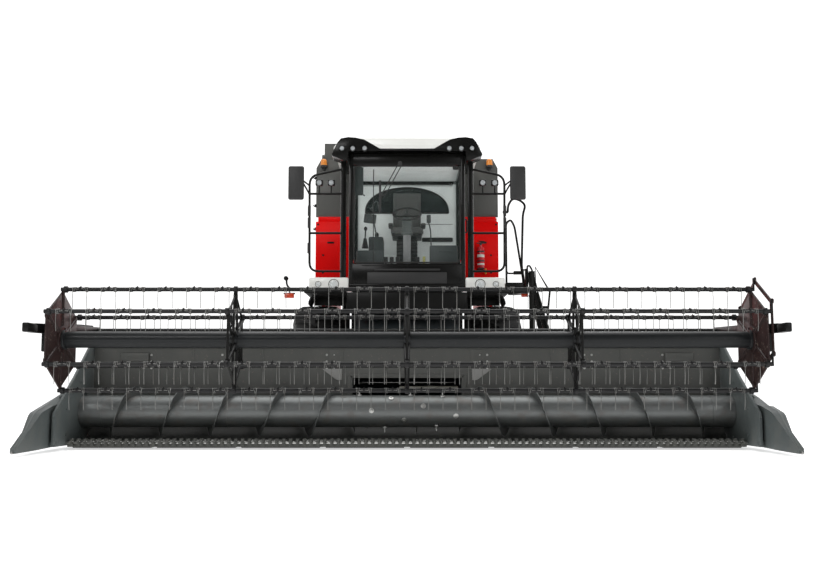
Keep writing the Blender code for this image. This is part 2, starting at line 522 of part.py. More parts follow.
node("feeder_house", SLATE, [
    prism(tunnel, -FEED_X, FEED_X),
    *both(box, lug_x - 0.03, lug_x - GAP, eye_y - 0.06, eye_y + 0.06, eye_z - 0.05, 0.72)],
    cut=[prism(bore, -FEED_X + FEED_WALL, FEED_X - FEED_WALL)], origin=feeder)

# ---- header ----
arc = [(AUGER_Y + TROUGH_R * math.sin(math.radians(a)), AUGER_Z - TROUGH_R * math.cos(math.radians(a)))
       for a in range(90, -1, -15)]
arc_out = [(AUGER_Y + (TROUGH_R + FLOOR_T) * math.sin(math.radians(a)),
            AUGER_Z - (TROUGH_R + FLOOR_T) * math.cos(math.radians(a))) for a in range(0, 91, 15)]
wall_back = AUGER_Y + TROUGH_R + FLOOR_T
trough = [(wall_back - FLOOR_T, HEAD_TOP), *arc, (KNIFE_Y, KNIFE_Z + 0.01), (KNIFE_Y, KNIFE_Z - FLOOR_T),
          *arc_out, (wall_back, HEAD_TOP)]
sheet = [(HEAD_BACK, 0.10), (HEAD_BACK, HEAD_TOP), (WALL_FRONT - 0.1, HEAD_TOP), (-3.05, 0.80), (SHEET_FRONT, 0.40),
         (SHEET_FRONT, 0.05), (-2.85, 0.04), (-2.5, 0.04)]
sheet_out = HEAD_X + SHEET_T
mouth_x = 0.69
ear = (ARM_Y - 0.06, ARM_Y + 0.06)
torsion_r = 0.05
node("header_frame", SLATE, [
    prism(trough, -HEAD_X - 0.02, HEAD_X + 0.02),
    box(-HEAD_X - 0.02, HEAD_X + 0.02, wall_back - 0.01, HEAD_BACK, HEAD_TOP - 0.12, HEAD_TOP + 0.02),
    box(-HEAD_X - 0.02, HEAD_X + 0.02, wall_back - 0.02, HEAD_BACK, 0.14, mouth_low - 0.02),
    *both(prism, sheet, HEAD_X, sheet_out),
    *both(box, mouth_x + 0.01, mouth_x + 0.09, wall_back - 0.02, HEAD_BACK, 0.20, HEAD_TOP - 0.05),
    *both(box, 2.40, 2.48, wall_back - 0.02, HEAD_BACK, 0.20, HEAD_TOP - 0.05),
    *both(box, 3.45, 3.53, *ear, HEAD_TOP - 0.05, ARM_Z - torsion_r - GAP)],
    cut=[box(-mouth_x, mouth_x, wall_back - 0.1, wall_back + 0.1, mouth_low + 0.02, 0.80)],
    origin=feeder)

for side, sign in (("left", 1), ("right", -1)):
    x0, x1 = sheet_out + GAP, DIVIDER_X
    mid = (x0 + x1) / 2
    points = [(x, -2.95, z) for x in (x0, x1) for z in (0.05, 0.62)]
    points += [(x, -3.85, z) for x in (x0, x1) for z in (0.04, 0.45)] + [(x0 + 0.05, -2.60, 0.80), (x0, -2.60, 0.80),
                                                                       (x0, -2.60, 0.10)]
    points += [(mid - 0.03, DIVIDER_TIP, 0.03), (mid + 0.03, DIVIDER_TIP, 0.03), (mid, DIVIDER_TIP, 0.07)]
    node(f"crop_divider_{side}", STEEL, [hull([(sign * x, y, z) for x, y, z in points])], origin=feeder)

guard_front = KNIFE_Y - 0.16
node("cutterbar", STEEL, [prism([(KNIFE_Y - GAP, KNIFE_Z - 0.02), (KNIFE_Y - GAP, KNIFE_Z + 0.025),
                                 (KNIFE_Y - 0.06, KNIFE_Z + 0.025), (guard_front, KNIFE_Z), (guard_front, KNIFE_Z - 0.02)],
                                -HEAD_X + 0.01, HEAD_X - 0.01)], origin=feeder)

auger_x, auger_line = HEAD_X - GAP, (AUGER_Y, AUGER_Z)
flight_in, flight_end = 0.62, HEAD_X - 0.04
node("table_auger", STEEL, [
    rod((-auger_x, *auger_line), (auger_x, *auger_line), AUGER_R, 24),
    *[ribbon(sign * flight_end, sign * flight_in, 1, AUGER_R - 0.02, FLIGHT_R, 0.012, PITCH, auger_line)
      for sign in (1, -1)]], origin=(0, *auger_line))

# ---- reel ----
arm_in, arm_out = ARM_X, ARM_X + ARM_W
node("reel_arms", BLACK, [
    rod((-arm_in - 0.02, ARM_Y, ARM_Z), (arm_in + 0.02, ARM_Y, ARM_Z), torsion_r, 12),
    *both(prism, [(ARM_Y + 0.08, ARM_Z - 0.07), (ARM_Y + 0.08, ARM_Z + 0.07), (ARM_TIP, 1.35), (ARM_TIP, 1.25)],
          arm_in, arm_out),
    *both(block, (ARM_X + ARM_W / 2, REEL_Y, REEL_Z + 0.02), (ARM_W, 0.18, 0.30))],
    origin=(0, ARM_Y, ARM_Z))

reel_line, hub = (REEL_Y, REEL_Z), (0, REEL_Y, REEL_Z)
reach = REEL_R - BAR_R - GAP
corners = [(REEL_Y + reach * math.sin(math.radians(60 * k)), REEL_Z + reach * math.cos(math.radians(60 * k)))
           for k in range(BARS)]


def spokes(x):
    """Three flat bars through the reel's centre, from each bar to the one opposite."""
    made = []
    for k in range(BARS // 2):
        bm = box(x - 0.012, x + 0.012, REEL_Y - 0.03, REEL_Y + 0.03, REEL_Z - reach, REEL_Z + reach)
        turn = Matrix.Rotation(math.radians(60 * k), 3, "X")
        bmesh.ops.rotate(bm, verts=bm.verts, cent=hub, matrix=turn)
        made.append(bm)
    return made


node("reel_rotor", BROWN, [
    rod((-arm_in + GAP, *reel_line), (arm_in - GAP, *reel_line), REEL_TUBE, 20),
    *both(prism, corners, REEL_X - PLATE_T / 2, REEL_X + PLATE_T / 2),
    *[spoke for x in SPIDER_X for spoke in spokes(x)]], origin=hub)

bar_end, crank_end = REEL_X + 0.016, REEL_X + 0.034
for k in range(BARS):
    angle = math.radians(60 * k)
    y, z = REEL_Y + REEL_R * math.sin(angle), REEL_Z + REEL_R * math.cos(angle)
    node(f"tine_bar_{k + 1}", BLACK, [
        rod((-bar_end, y, z), (bar_end, y, z), BAR_R, 10),
        box(bar_end - 0.002, crank_end, y - 0.018, y + 0.018, z - 0.02, z + RING_OFF + 0.02)],
        origin=(0, y, z))

ring_in, ring_out = crank_end + GAP, crank_end + 0.016
ring_line = (REEL_Y, REEL_Z + RING_OFF)


def hexagon(radius, x0, x1):
    return prism([(ring_line[0] + radius * math.sin(math.radians(60 * k)),
                   ring_line[1] + radius * math.cos(math.radians(60 * k))) for k in range(BARS)], x0, x1)


node("reel_control_ring", BROWN, [hexagon(REEL_R + 0.03, ring_in, ring_out)],
     cut=[hexagon(REEL_R - 0.05, ring_in - 0.1, ring_out + 0.1)], origin=(ring_in, *ring_line))

# ---- lift cylinders ----
run = Vector((0, eye_y - base_y, eye_z - base_z)).normalized()
for side, sign in (("left", 1), ("right", -1)):
    base = Vector((sign * LIFT_X, base_y, base_z))
    eye = Vector((sign * LIFT_X, eye_y, eye_z))
    mouth = base + run * BARREL_L
    node(f"lift_cylinder_{side}", BLACK, [rod(base - run * 0.05, mouth, BARREL_R, 14)],
         cut=[rod(base + run * 0.10, mouth + run * 0.1, ROD_R + GAP, 14)], origin=base)
    node(f"lift_rod_{side}", CHROME, [rod(base + run * 0.14, eye, ROD_R - 0.0004, 14),
                                      rod(eye - Vector((0.03, 0, 0)), eye + Vector((0.03, 0, 0)), 0.045, 12)],
         origin=eye)
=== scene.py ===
"""Combine harvester with its grain header: the finished surfaces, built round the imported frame."""

import math

import bmesh
import bpy
from mathutils import Matrix, Vector


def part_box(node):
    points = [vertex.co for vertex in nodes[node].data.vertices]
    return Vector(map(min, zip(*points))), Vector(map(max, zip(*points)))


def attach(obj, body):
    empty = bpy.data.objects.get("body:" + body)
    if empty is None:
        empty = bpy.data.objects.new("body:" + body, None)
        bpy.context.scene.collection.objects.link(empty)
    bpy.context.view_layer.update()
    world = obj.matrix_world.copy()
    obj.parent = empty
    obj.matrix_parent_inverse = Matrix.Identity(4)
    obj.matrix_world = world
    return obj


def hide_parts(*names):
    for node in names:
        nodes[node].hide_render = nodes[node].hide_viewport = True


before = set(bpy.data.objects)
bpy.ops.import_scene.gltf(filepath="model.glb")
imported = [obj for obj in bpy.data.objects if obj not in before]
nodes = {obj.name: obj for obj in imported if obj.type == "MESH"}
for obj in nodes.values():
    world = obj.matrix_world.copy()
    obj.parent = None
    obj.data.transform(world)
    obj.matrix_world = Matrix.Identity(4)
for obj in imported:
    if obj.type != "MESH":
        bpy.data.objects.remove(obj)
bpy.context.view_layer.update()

# ---- the machine's own line of measure ----
# Lengths run from the front axle, so every section below gives y from there. The axle's place comes
# from the frame.
axle_low, axle_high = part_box("front_left_tyre")
AXLE_Y = (axle_low[1] + axle_high[1]) / 2


def reach(node):
    """A node's lowest and highest corners, with y from the front axle."""
    low, high = (Vector(corner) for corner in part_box(node))
    shift = Vector((0, AXLE_Y, 0))
    return low - shift, high - shift


# ---- camera, floor and light ----
# The machine is seen from low down in front of it through a long lens, a little upwards.
EYE_BACK, EYE_HEIGHT = 14.1, 0.735
EYE_LENS, EYE_RISE = 42.46, 5.675                             # millimetres and degrees
eye = bpy.data.objects.new("camera", bpy.data.cameras.new("camera"))
eye.data.sensor_width = 36
eye.data.lens = EYE_LENS
eye.location = (0, AXLE_Y - EYE_BACK, EYE_HEIGHT)
eye.rotation_euler = (math.radians(90 + EYE_RISE), 0, 0)
bpy.context.scene.collection.objects.link(eye)
bpy.context.scene.camera = eye

floor_mesh = bpy.data.meshes.new("studio_floor")
sheet = bmesh.new()
bmesh.ops.create_grid(sheet, x_segments=1, y_segments=1, size=60)
bmesh.ops.translate(sheet, verts=sheet.verts, vec=(0, 20, 0))
sheet.to_mesh(floor_mesh)
sheet.free()
floor = bpy.data.objects.new("studio_floor", floor_mesh)
bpy.context.scene.collection.objects.link(floor)
floor_paint = bpy.data.materials.new("studio_white")
floor_paint.use_nodes = True
floor_shader = floor_paint.node_tree.nodes["Principled BSDF"]
floor_shader.inputs["Base Color"].default_value = (0.93, 0.93, 0.93, 1)
floor_shader.inputs["Roughness"].default_value = 0.9
floor_shader.inputs["Specular IOR Level"].default_value = 0.0
floor_shader.inputs["Emission Color"].default_value = (1, 1, 1, 1)
floor_shader.inputs["Emission Strength"].default_value = 0.55
floor_mesh.materials.append(floor_paint)

world = bpy.data.worlds.new("studio")
bpy.context.scene.world = world
world.use_nodes = True
sky = world.node_tree.nodes["Background"]
sky.inputs["Color"].default_value = (1.0, 1.0, 1.0, 1)
# A white wall stands behind the machine and the room in front of it is dim, so that black enamel reads
# black and each lamp draws its own line on the bent steel.
way = world.node_tree.nodes.new("ShaderNodeTexCoord")
parts = world.node_tree.nodes.new("ShaderNodeSeparateXYZ")
ramp = world.node_tree.nodes.new("ShaderNodeMapRange")
ramp.interpolation_type = "SMOOTHSTEP"
DIM, BRIGHT = 0.22, 1.25
for key, value in {"From Min": -0.15, "From Max": 0.55, "To Min": DIM, "To Max": BRIGHT}.items():
    ramp.inputs[key].default_value = value
world.node_tree.links.new(way.outputs["Generated"], parts.inputs[0])
world.node_tree.links.new(parts.outputs["Y"], ramp.inputs["Value"])
world.node_tree.links.new(ramp.outputs[0], sky.inputs["Strength"])


def softbox(name, place, aim, size, watts):
    """One large soft lamp."""
    lamp = bpy.data.lights.new(name, "AREA")
    lamp.shape = "RECTANGLE"
    lamp.size, lamp.size_y = size
    lamp.energy = watts
    stand = bpy.data.objects.new(name, lamp)
    stand.location = place
    stand.rotation_euler = (Vector(aim) - Vector(place)).to_track_quat("-Z", "Y").to_euler()
    bpy.context.scene.collection.objects.link(stand)


softbox("key", (-7, -16, 10), (0, -2, 1.5), (7, 5), 620)
softbox("fill", (9, -14, 6), (0, -2, 1.5), (6, 6), 260)
softbox("top", (0, -1, 13), (0, 0, 0), (12, 12), 900)
softbox("back", (5, 16, 9), (0, 2, 2), (7, 5), 300)
bpy.context.scene.view_settings.view_transform = "Standard"


# ---- how a finish is made ----
# Every finish is one node tree on Object coordinates. Link wraps a socket, so that the maths between
# the noise and the shader reads as sums.
class Link:
    def __init__(self, finish, socket):
        self.finish, self.socket = finish, socket

    def math(self, operation, other, swap=False):
        pair = (other, self) if swap else (self, other)
        return self.finish.add("ShaderNodeMath", {"operation": operation}, dict(enumerate(pair)))

    def __add__(self, other):
        return self.math("ADD", other)

    __radd__ = __add__

    def __mul__(self, other):
        return self.math("MULTIPLY", other)

    __rmul__ = __mul__

    def __sub__(self, other):
        return self.math("SUBTRACT", other)

    def __rsub__(self, other):
        return self.math("SUBTRACT", other, swap=True)

    def step(self, low, high):
        """0 below low, 1 above high, smooth between."""
        return self.finish.add("ShaderNodeMapRange", {"interpolation_type": "SMOOTHSTEP"},
                               {"Value": self, "From Min": low, "From Max": high})


class Finish:
    def __init__(self, name):
        self.material = bpy.data.materials.new(name)
        self.material.use_nodes = True
        self.tree = self.material.node_tree
        self.shader = self.tree.nodes["Principled BSDF"]
        self.place = self.add("ShaderNodeTexCoord", {}, {}, "Object")

    def add(self, kind, settings, sockets, output=0):
        """Any node: its settings first, then the values or links of its sockets."""
        made = self.tree.nodes.new(kind)
        for key, value in settings.items():
            setattr(made, key, value)
        for key, value in sockets.items():
            if isinstance(value, Link):
                self.tree.links.new(value.socket, made.inputs[key])
            else:
                made.inputs[key].default_value = value
        return Link(self, made.outputs[output])

    def noise(self, scale, detail=3.0, stretch=(1, 1, 1)):
        spot = self.add("ShaderNodeMapping", {}, {"Vector": self.place, "Scale": stretch})
        return self.add("ShaderNodeTexNoise", {}, {"Vector": spot, "Scale": scale, "Detail": detail})

    def height(self):
        return self.add("ShaderNodeSeparateXYZ", {}, {0: self.place}, "Z")

    def mix(self, share, first, second):
        """Two colours, by share."""
        pair = [value if isinstance(value, Link) else (*value, 1) for value in (first, second)]
        return self.add("ShaderNodeMix", {"data_type": "RGBA"}, {0: share, 6: pair[0], 7: pair[1]}, 2)

    def bump(self, height, strength, distance):
        return self.add("ShaderNodeBump", {}, {"Height": height, "Strength": strength, "Distance": distance})

    def wear(self, **sockets):
        """Sets the shader's own sockets, from values or links."""
        for key, value in sockets.items():
            socket = self.shader.inputs[key.replace("_", " ")]
            if isinstance(value, Link):
                self.tree.links.new(value.socket, socket)
            else:
                socket.default_value = (*value, 1) if isinstance(value, tuple) else value
        return self


DUST = (0.34, 0.30, 0.24)


def enamel(name, colour, roughness, dust=0.12, chips=0.0, coat=0.35, gloss=0.5, peel=0.02):
    """Sprayed machine enamel: soft colour drift, road dust low down, and chips where crop rubs it."""
    made = Finish(name)
    drift = made.noise(1.3, 4)
    dark = tuple(c * 0.80 for c in colour)
    light = tuple(min(1, c * 1.10 + 0.004) for c in colour)
    face = made.mix(drift, dark, light)
    film = made.noise(5, 6, (1, 1, 0.4)).step(0.45, 0.85) * (1.25 - made.height() * 0.28) * (dust * 0.4)
    face = made.mix(film, face, DUST)
    rough = made.noise(22, 3) * 0.14 + (roughness - 0.07) + film * 0.5
    if chips:
        worn = made.noise(34, 8).step(0.66 - chips * 0.1, 0.70)
        face = made.mix(worn * chips, face, (0.23, 0.19, 0.16))
        rough = rough + worn * 0.15
    skin = made.noise(260, 2)
    made.wear(Base_Color=face, Roughness=rough, Normal=made.bump(skin, peel, 0.0006), Coat_Weight=coat,
              Coat_Roughness=0.08, Specular_IOR_Level=gloss)
    return made.material


def metal(name, colour, roughness, grain=(1, 1, 1), rust=0.0, metallic=1.0):
    """Bare working metal: a fine grain along its length, scuffs, and a thin brown bloom."""
    made = Finish(name)
    streak = made.noise(40, 5, grain)
    face = made.mix(streak, tuple(c * 0.72 for c in colour), tuple(min(1, c * 1.15) for c in colour))
    bloom = made.noise(7, 7).step(0.50, 0.72) * rust
    face = made.mix(bloom, face, (0.13, 0.065, 0.035))
    made.wear(Base_Color=face, Roughness=streak * 0.22 + (roughness - 0.1) + bloom * 0.4,
              Metallic=metallic - bloom * 0.7, Normal=made.bump(streak, 0.15, 0.0008))
    return made.material


def moulding(name, colour, roughness, grain=900, strength=0.15):
    """Moulded plastic or rubber with a leathery grain."""
    made = Finish(name)
    pores = made.add("ShaderNodeTexVoronoi", {}, {"Vector": made.place, "Scale": grain})
    drift = made.noise(6, 4)
    face = made.mix(drift, tuple(c * 0.8 for c in colour), tuple(min(1, c * 1.15) for c in colour))
    made.wear(Base_Color=face, Roughness=drift * 0.15 + (roughness - 0.07),
              Normal=made.bump(pores, strength, 0.0004))
    return made.material


# ---- how a piece is made ----
# A Piece gathers the shapes of one part, in one mesh and one finish, and rides on one body.
class Piece:
    def __init__(self, name):
        self.name, self.bm = name, bmesh.new()

    def soften(self, verts, width, segments=2):
        """Rounds the edges of the shape just made."""
        if width:
            mine = set(verts)
            edges = [e for e in self.bm.edges if e.verts[0] in mine and e.verts[1] in mine
                     and len(e.link_faces) == 2 and e.calc_face_angle(0) > 0.5]
            bmesh.ops.bevel(self.bm, geom=edges, offset=width, segments=segments, affect="EDGES", profile=0.5,
                            material=-1, clamp_overlap=True)
        return self

    def box(self, x, y, z, round_off=0.004, turn=None, about=None):
        """A box from its three spans, turned about a point if a turn is given."""
        made = bmesh.ops.create_cube(self.bm, size=1)["verts"]
        bmesh.ops.scale(self.bm, verts=made, vec=(x[1] - x[0], y[1] - y[0], z[1] - z[0]))
        middle = Vector(((x[0] + x[1]) / 2, (y[0] + y[1]) / 2, (z[0] + z[1]) / 2))
        bmesh.ops.translate(self.bm, verts=made, vec=middle)
        if turn:
            bmesh.ops.rotate(self.bm, verts=made, cent=about or middle, matrix=turn)
        return self.soften(made, round_off)

    def rod(self, start, end, radius, sides=20, tip=None, round_off=0.0):
        """A round bar or cone between two points."""
        start, end = Vector(start), Vector(end)
        made = bmesh.ops.create_cone(self.bm, cap_ends=True, segments=sides, radius1=radius,
                                     radius2=radius if tip is None else tip,
                                     depth=(end - start).length)["verts"]
        turn = (end - start).to_track_quat("Z", "Y").to_matrix()
        bmesh.ops.rotate(self.bm, verts=made, matrix=turn)
        bmesh.ops.translate(self.bm, verts=made, vec=(start + end) / 2)
        return self.soften(made, round_off)

    def ball(self, centre, radius, squeeze=(1, 1, 1)):
        made = bmesh.ops.create_uvsphere(self.bm, u_segments=20, v_segments=12, radius=radius)["verts"]
        bmesh.ops.scale(self.bm, verts=made, vec=squeeze)
        bmesh.ops.translate(self.bm, verts=made, vec=centre)
        return self

    def sheet(self, outline, axis, span, round_off=0.003):
        """A flat outline cut from plate, drawn along axis 'x' as (y, z), 'y' as (x, z) or 'z' as (x, y)."""
        spot = {"x": lambda a, b: (span[0], a, b), "y": lambda a, b: (a, span[0], b), "z": lambda a,
                b: (a, b, span[0])}
        face = self.bm.faces.new([self.bm.verts.new(spot[axis](a, b)) for a, b in outline])
        made = bmesh.ops.extrude_face_region(self.bm, geom=[face])["geom"]
        moved = [v for v in made if isinstance(v, bmesh.types.BMVert)]
        way = [span[1] - span[0] if axis == letter else 0 for letter in "xyz"]
        bmesh.ops.translate(self.bm, verts=moved, vec=way)
        shape = set(moved)
        for v in moved:
            shape |= {e.other_vert(v) for e in v.link_edges}
        faces = {f for v in shape for f in v.link_faces}
        bmesh.ops.recalc_face_normals(self.bm, faces=list(faces))
        return self.soften(list(shape), round_off)

    def turned(self, profile, centre, axis="x", steps=48, closed=True):
        """A profile of (along, radius) points spun about an axis through centre."""
        way = Vector([axis == letter for letter in "xyz"])
        out = Vector((0, 0, 1)) if axis != "z" else Vector((1, 0, 0))
        centre = Vector(centre)
        verts = [self.bm.verts.new(centre + way * along + out * radius) for along, radius in profile]
        pairs = list(zip(verts, verts[1:])) + ([(verts[-1], verts[0])] if closed else [])
        edges = [self.bm.edges.new(pair) for pair in pairs]
        bmesh.ops.spin(self.bm, geom=verts + edges, cent=centre, axis=way, angle=2 * math.pi, steps=steps,
                       use_merge=True)
        bmesh.ops.remove_doubles(self.bm, verts=self.bm.verts, dist=1e-6)
        return self

    def tube(self, route, radius, sides=10, closed=False):
        """Bent tube through the points of a route."""
        curve = bpy.data.curves.new("guide", "CURVE")
        curve.dimensions = "3D"
        curve.bevel_depth = radius
        curve.bevel_resolution = max(0, sides // 2 - 2)
        curve.use_fill_caps = not closed
        spline = curve.splines.new("POLY")
        spline.points.add(len(route) - 1)
        spline.use_cyclic_u = closed
        for point, place in zip(spline.points, route):
            point.co = (*place, 1)
        guide = bpy.data.objects.new("guide", curve)
        mesh = bpy.data.meshes.new_from_object(guide)
        bpy.data.objects.remove(guide, do_unlink=True)
        self.bm.from_mesh(mesh)
        bpy.data.meshes.remove(mesh)
        return self

    def bolts(self, spots, axis, radius=0.011, height=0.008):
        """Hexagon bolt heads standing off a face along axis."""
        way = Vector(axis)
        for spot in spots:
            spot = Vector(spot)
            self.rod(spot - way * 0.002, spot + way * height, radius, 6)
            self.rod(spot - way * 0.002, spot + way * 0.002, radius * 1.5, 14)
        return self

    def done(self, material, body, *replaced, smooth=35):
        """Turns the shapes into one object on its body, in place of the CAD nodes that it stands for."""
        bmesh.ops.remove_doubles(self.bm, verts=self.bm.verts, dist=1e-6)
        bmesh.ops.recalc_face_normals(self.bm, faces=self.bm.faces)
        bmesh.ops.translate(self.bm, verts=self.bm.verts, vec=(0, AXLE_Y, 0))
        mesh = bpy.data.meshes.new(self.name)
        self.bm.to_mesh(mesh)
        self.bm.free()
        mesh.shade_smooth()
        mesh.set_sharp_from_angle(angle=math.radians(smooth))
        mesh.materials.append(material)
        made = bpy.data.objects.new(self.name, mesh)
        bpy.context.scene.collection.objects.link(made)
        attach(made, body)
        if replaced:
            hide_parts(*replaced)
        return made


def bent(points, radius, steps=5):
    """A route with its inner corners rounded."""
    points = [Vector(p) for p in points]
    route = [points[0]]
    for before, corner, after in zip(points, points[1:], points[2:]):
        into, out = (before - corner), (after - corner)
        cut = min(radius, into.length / 2.1, out.length / 2.1)
        start, end = corner + into.normalized() * cut, corner + out.normalized() * cut
        for k in range(steps + 1):
            t = k / steps
            route.append(start.lerp(corner, t).lerp(corner.lerp(end, t), t))
    return route + [points[-1]]


def one_side(sign, near, far):
    """A span of x on the left (1) or on the right (-1)."""
    return sorted((sign * near, sign * far))


def centred(middle, half):
    """A span from its middle and half its width."""
    return middle - half, middle + half


SIDES = (("left", 1), ("right", -1))


def dress(node, material):
    """A CAD node that still shows, in a finish of its own."""
    nodes[node].data.materials.clear()
    nodes[node].data.materials.append(material)


# ---- finishes that several pieces share ----
red = enamel("red_enamel", (0.84, 0.0006, 0.0006), 0.34, dust=0.005, coat=0.02, gloss=0.05)
grey = enamel("grey_enamel", (0.096, 0.097, 0.090), 0.42, dust=0.06, coat=0.05, gloss=0.25)
white = enamel("white_enamel", (0.92, 0.92, 0.87), 0.33, dust=0.04)
black = enamel("black_enamel", (0.0050, 0.0050, 0.0046), 0.38, dust=0.015, coat=0.02, gloss=0.16)
slate = enamel("slate_enamel", (0.046, 0.056, 0.061), 0.40, dust=0.20, chips=0.5, coat=0.08, gloss=0.3)
umber = enamel("reel_enamel", (0.021, 0.0085, 0.0078), 0.45, dust=0.05, chips=0.6, coat=0.05, gloss=0.3)
steel = metal("worn_steel", (0.34, 0.34, 0.33), 0.34, (0.3, 6, 6), rust=0.25)
zinc = metal("zinc_plate", (0.55, 0.55, 0.53), 0.30, (4, 4, 4))
chrome = metal("hard_chrome", (0.82, 0.82, 0.82), 0.16, (1, 8, 8))
plastic = moulding("black_moulding", (0.018, 0.018, 0.018), 0.50)
rubber = moulding("soft_rubber", (0.022, 0.021, 0.020), 0.75, 300)

# ---- header: table, back wall and end sheets ----
# A welded sheet-steel trough, 7.6 m between its end sheets, hung on two square cross tubes. The trough
# wraps the auger with a finger's clearance and runs forward to the knife.
table_low, table_high = reach("header_frame")
auger_low, auger_high = reach("table_auger")
AUGER_Y, AUGER_Z = (auger_low.y + auger_high.y) / 2, (auger_low.z + auger_high.z) / 2
knife_low, knife_high = reach("cutterbar")
HALF = 3.80                       # to the inside of the end sheets
TROUGH, SHEET = 0.345, 0.022
MOUTH = 0.69
BACK, WALL = table_low.y, AUGER_Y + TROUGH
WALL_BACK = WALL + SHEET
HEAD_BACK, HEAD_TOP = table_high.y, 1.20


def trough_curve(depth, angles):
    """The round of the trough at a depth below its face, as (y, z)."""
    radius = TROUGH + depth
    return [(AUGER_Y + radius * math.sin(a), AUGER_Z - radius * math.cos(a)) for a in angles]


table = Piece("header_table")
bend = [math.radians(a) for a in range(90, -1, -5)]
floor_z = knife_high.z - 0.015
lip = [(knife_high.y + 0.002, floor_z), (knife_high.y + 0.002, floor_z - SHEET)]
trough = [(WALL, HEAD_TOP), *trough_curve(0, bend), *lip, *trough_curve(SHEET, bend[::-1]),
          (WALL_BACK, HEAD_TOP)]
for x0, x1 in ((-HALF, -MOUTH), (MOUTH, HALF)):
    table.sheet(trough, "x", (x0, x1), 0)
mouth_sill, mouth_head = 0.30, 0.80
sill_bend = [a for a in bend if AUGER_Z - TROUGH * math.cos(a) < mouth_sill]
sill = [*trough_curve(0, sill_bend), *lip, *trough_curve(SHEET, sill_bend[::-1])]
table.sheet(sill, "x", (-MOUTH, MOUTH), 0)
table.box((-MOUTH, MOUTH), (WALL, WALL_BACK), (mouth_head, HEAD_TOP), 0)
table.box((-HALF, HALF), (WALL_BACK - 0.004, HEAD_BACK), (HEAD_TOP - 0.12, HEAD_TOP + 0.02), 0.012)
table.box((-HALF, HALF), (WALL_BACK - 0.004, HEAD_BACK), (0.14, 0.26), 0.012)
table.box((-HALF, HALF), (WALL - 0.030, WALL + 0.002), (HEAD_TOP - 0.035, HEAD_TOP + 0.004), 0.006)
for x in (0.74, 1.6, 2.44, 3.1):
    for sign in (1, -1):
        table.box(centred(sign * x, 0.035), (WALL_BACK - 0.002, HEAD_BACK), (0.22, HEAD_TOP - 0.08), 0.006)
for x in (-2.6, -1.75, 1.75, 2.6):                            # pressed stiffening ribs on the wall's face
    table.box(centred(x, 0.012), (WALL - 0.008, WALL), (0.86, 1.15), 0.004)
for sign in (1, -1):
    table.box(centred(sign * 3.49, 0.04), (-2.33, -2.21), (HEAD_TOP - 0.05, 1.3095), 0.006)
wall_grey = enamel("slate_wall", (0.088, 0.090, 0.084), 0.42, dust=0.12, chips=0.3, coat=0.0, gloss=0.3)
table.done(wall_grey, "header", "header_frame")

nose_paint = enamel("slate_nose", (0.098, 0.113, 0.112), 0.42, dust=0.25, chips=0.3, coat=0.0, gloss=0.3)
skirts = Piece("header_end_sheets")
skirt = [(HEAD_BACK, 0.10), (HEAD_BACK, HEAD_TOP), (WALL - 0.1, HEAD_TOP), (-3.05, 0.80), (BACK + 0.02, 0.42),
         (BACK, 0.38), (BACK, 0.09), (BACK + 0.05, 0.05), (-2.85, 0.04), (-2.5, 0.04)]
for side, sign in SIDES:
    skirts.sheet(skirt, "x", (sign * (HALF + 0.002), sign * (HALF + 0.035)), 0.004)
    skirts.tube([(sign * (HALF + 0.018), y, z - 0.012) for y, z in skirt[1:6]], 0.018, 8)
    skirts.box(one_side(sign, HALF, HALF + 0.058), (BACK + 0.02, BACK + 0.12), (0.05, 0.11), 0.006)
    for y, z in ((-2.35, 1.05), (-2.35, 0.35), (-2.85, 0.75), (-3.3, 0.45), (-3.3, 0.16), (-2.8, 0.12)):
        skirts.bolts([(sign * (HALF + 0.002), y, z)], (-sign, 0, 0), 0.012)
skirts.done(nose_paint, "header")

fixings = Piece("header_wall_bolts")
for x in (-3.15, -0.93, 0.93, 3.15, -2.2, 2.2):
    spots = [(x + dx, WALL, z) for dx in (-0.045, 0.045) for z in (0.92, 1.0, 1.08)]
    fixings.bolts(spots, (0, -1, 0), 0.009, 0.007)
for x in [0.18 + 0.36 * k for k in range(10)]:
    fixings.bolts([(sx * x, WALL - 0.03, HEAD_TOP - 0.018) for sx in (1, -1)], (0, -1, 0), 0.008, 0.006)
fixings.done(zinc, "header")

plates = Piece("header_wall_plates")
for x in (-0.86, 0.86):                                       # doubler plates beside the mouth
    plates.box(centred(x, 0.085), (WALL - 0.006, WALL), (0.86, 1.14), 0.004)
for sign in (1, -1):
    plates.box(centred(sign * MOUTH, 0.03), (WALL - 0.016, WALL), (mouth_sill, mouth_head + 0.03), 0.005)
    plates.box(centred(sign * 3.30, 0.17), (WALL - 0.04, WALL), (1.00, 1.10), 0.008)
plates.box((-MOUTH, MOUTH), (WALL - 0.016, WALL), (mouth_head, mouth_head + 0.05), 0.006)
plates.done(wall_grey, "header")

gussets = Piece("mouth_gussets")                              # light plates across the mouth's upper corners
for sign in (1, -1):
    gussets.sheet([(sign * 1.03, 0.910), (sign * 0.79, 0.910), (sign * 0.79, 0.775), (sign * 0.85, 0.775)],
                  "y", (WALL - 0.010, WALL), 0.002)
gussets.done(enamel("slate_gusset", (0.26, 0.26, 0.25), 0.4, dust=0.1, coat=0.0, gloss=0.3), "header")

wear_strips = Piece("header_floor_strips")                    # bright skid strips riveted under the auger
for k in range(12):
    x = -3.45 + k * 0.627
    wear_strips.box(centred(x, 0.21), (knife_high.y + 0.03, knife_high.y + 0.16),
                    (floor_z, floor_z + 0.006), 0.002)
wear_strips.done(zinc, "header")

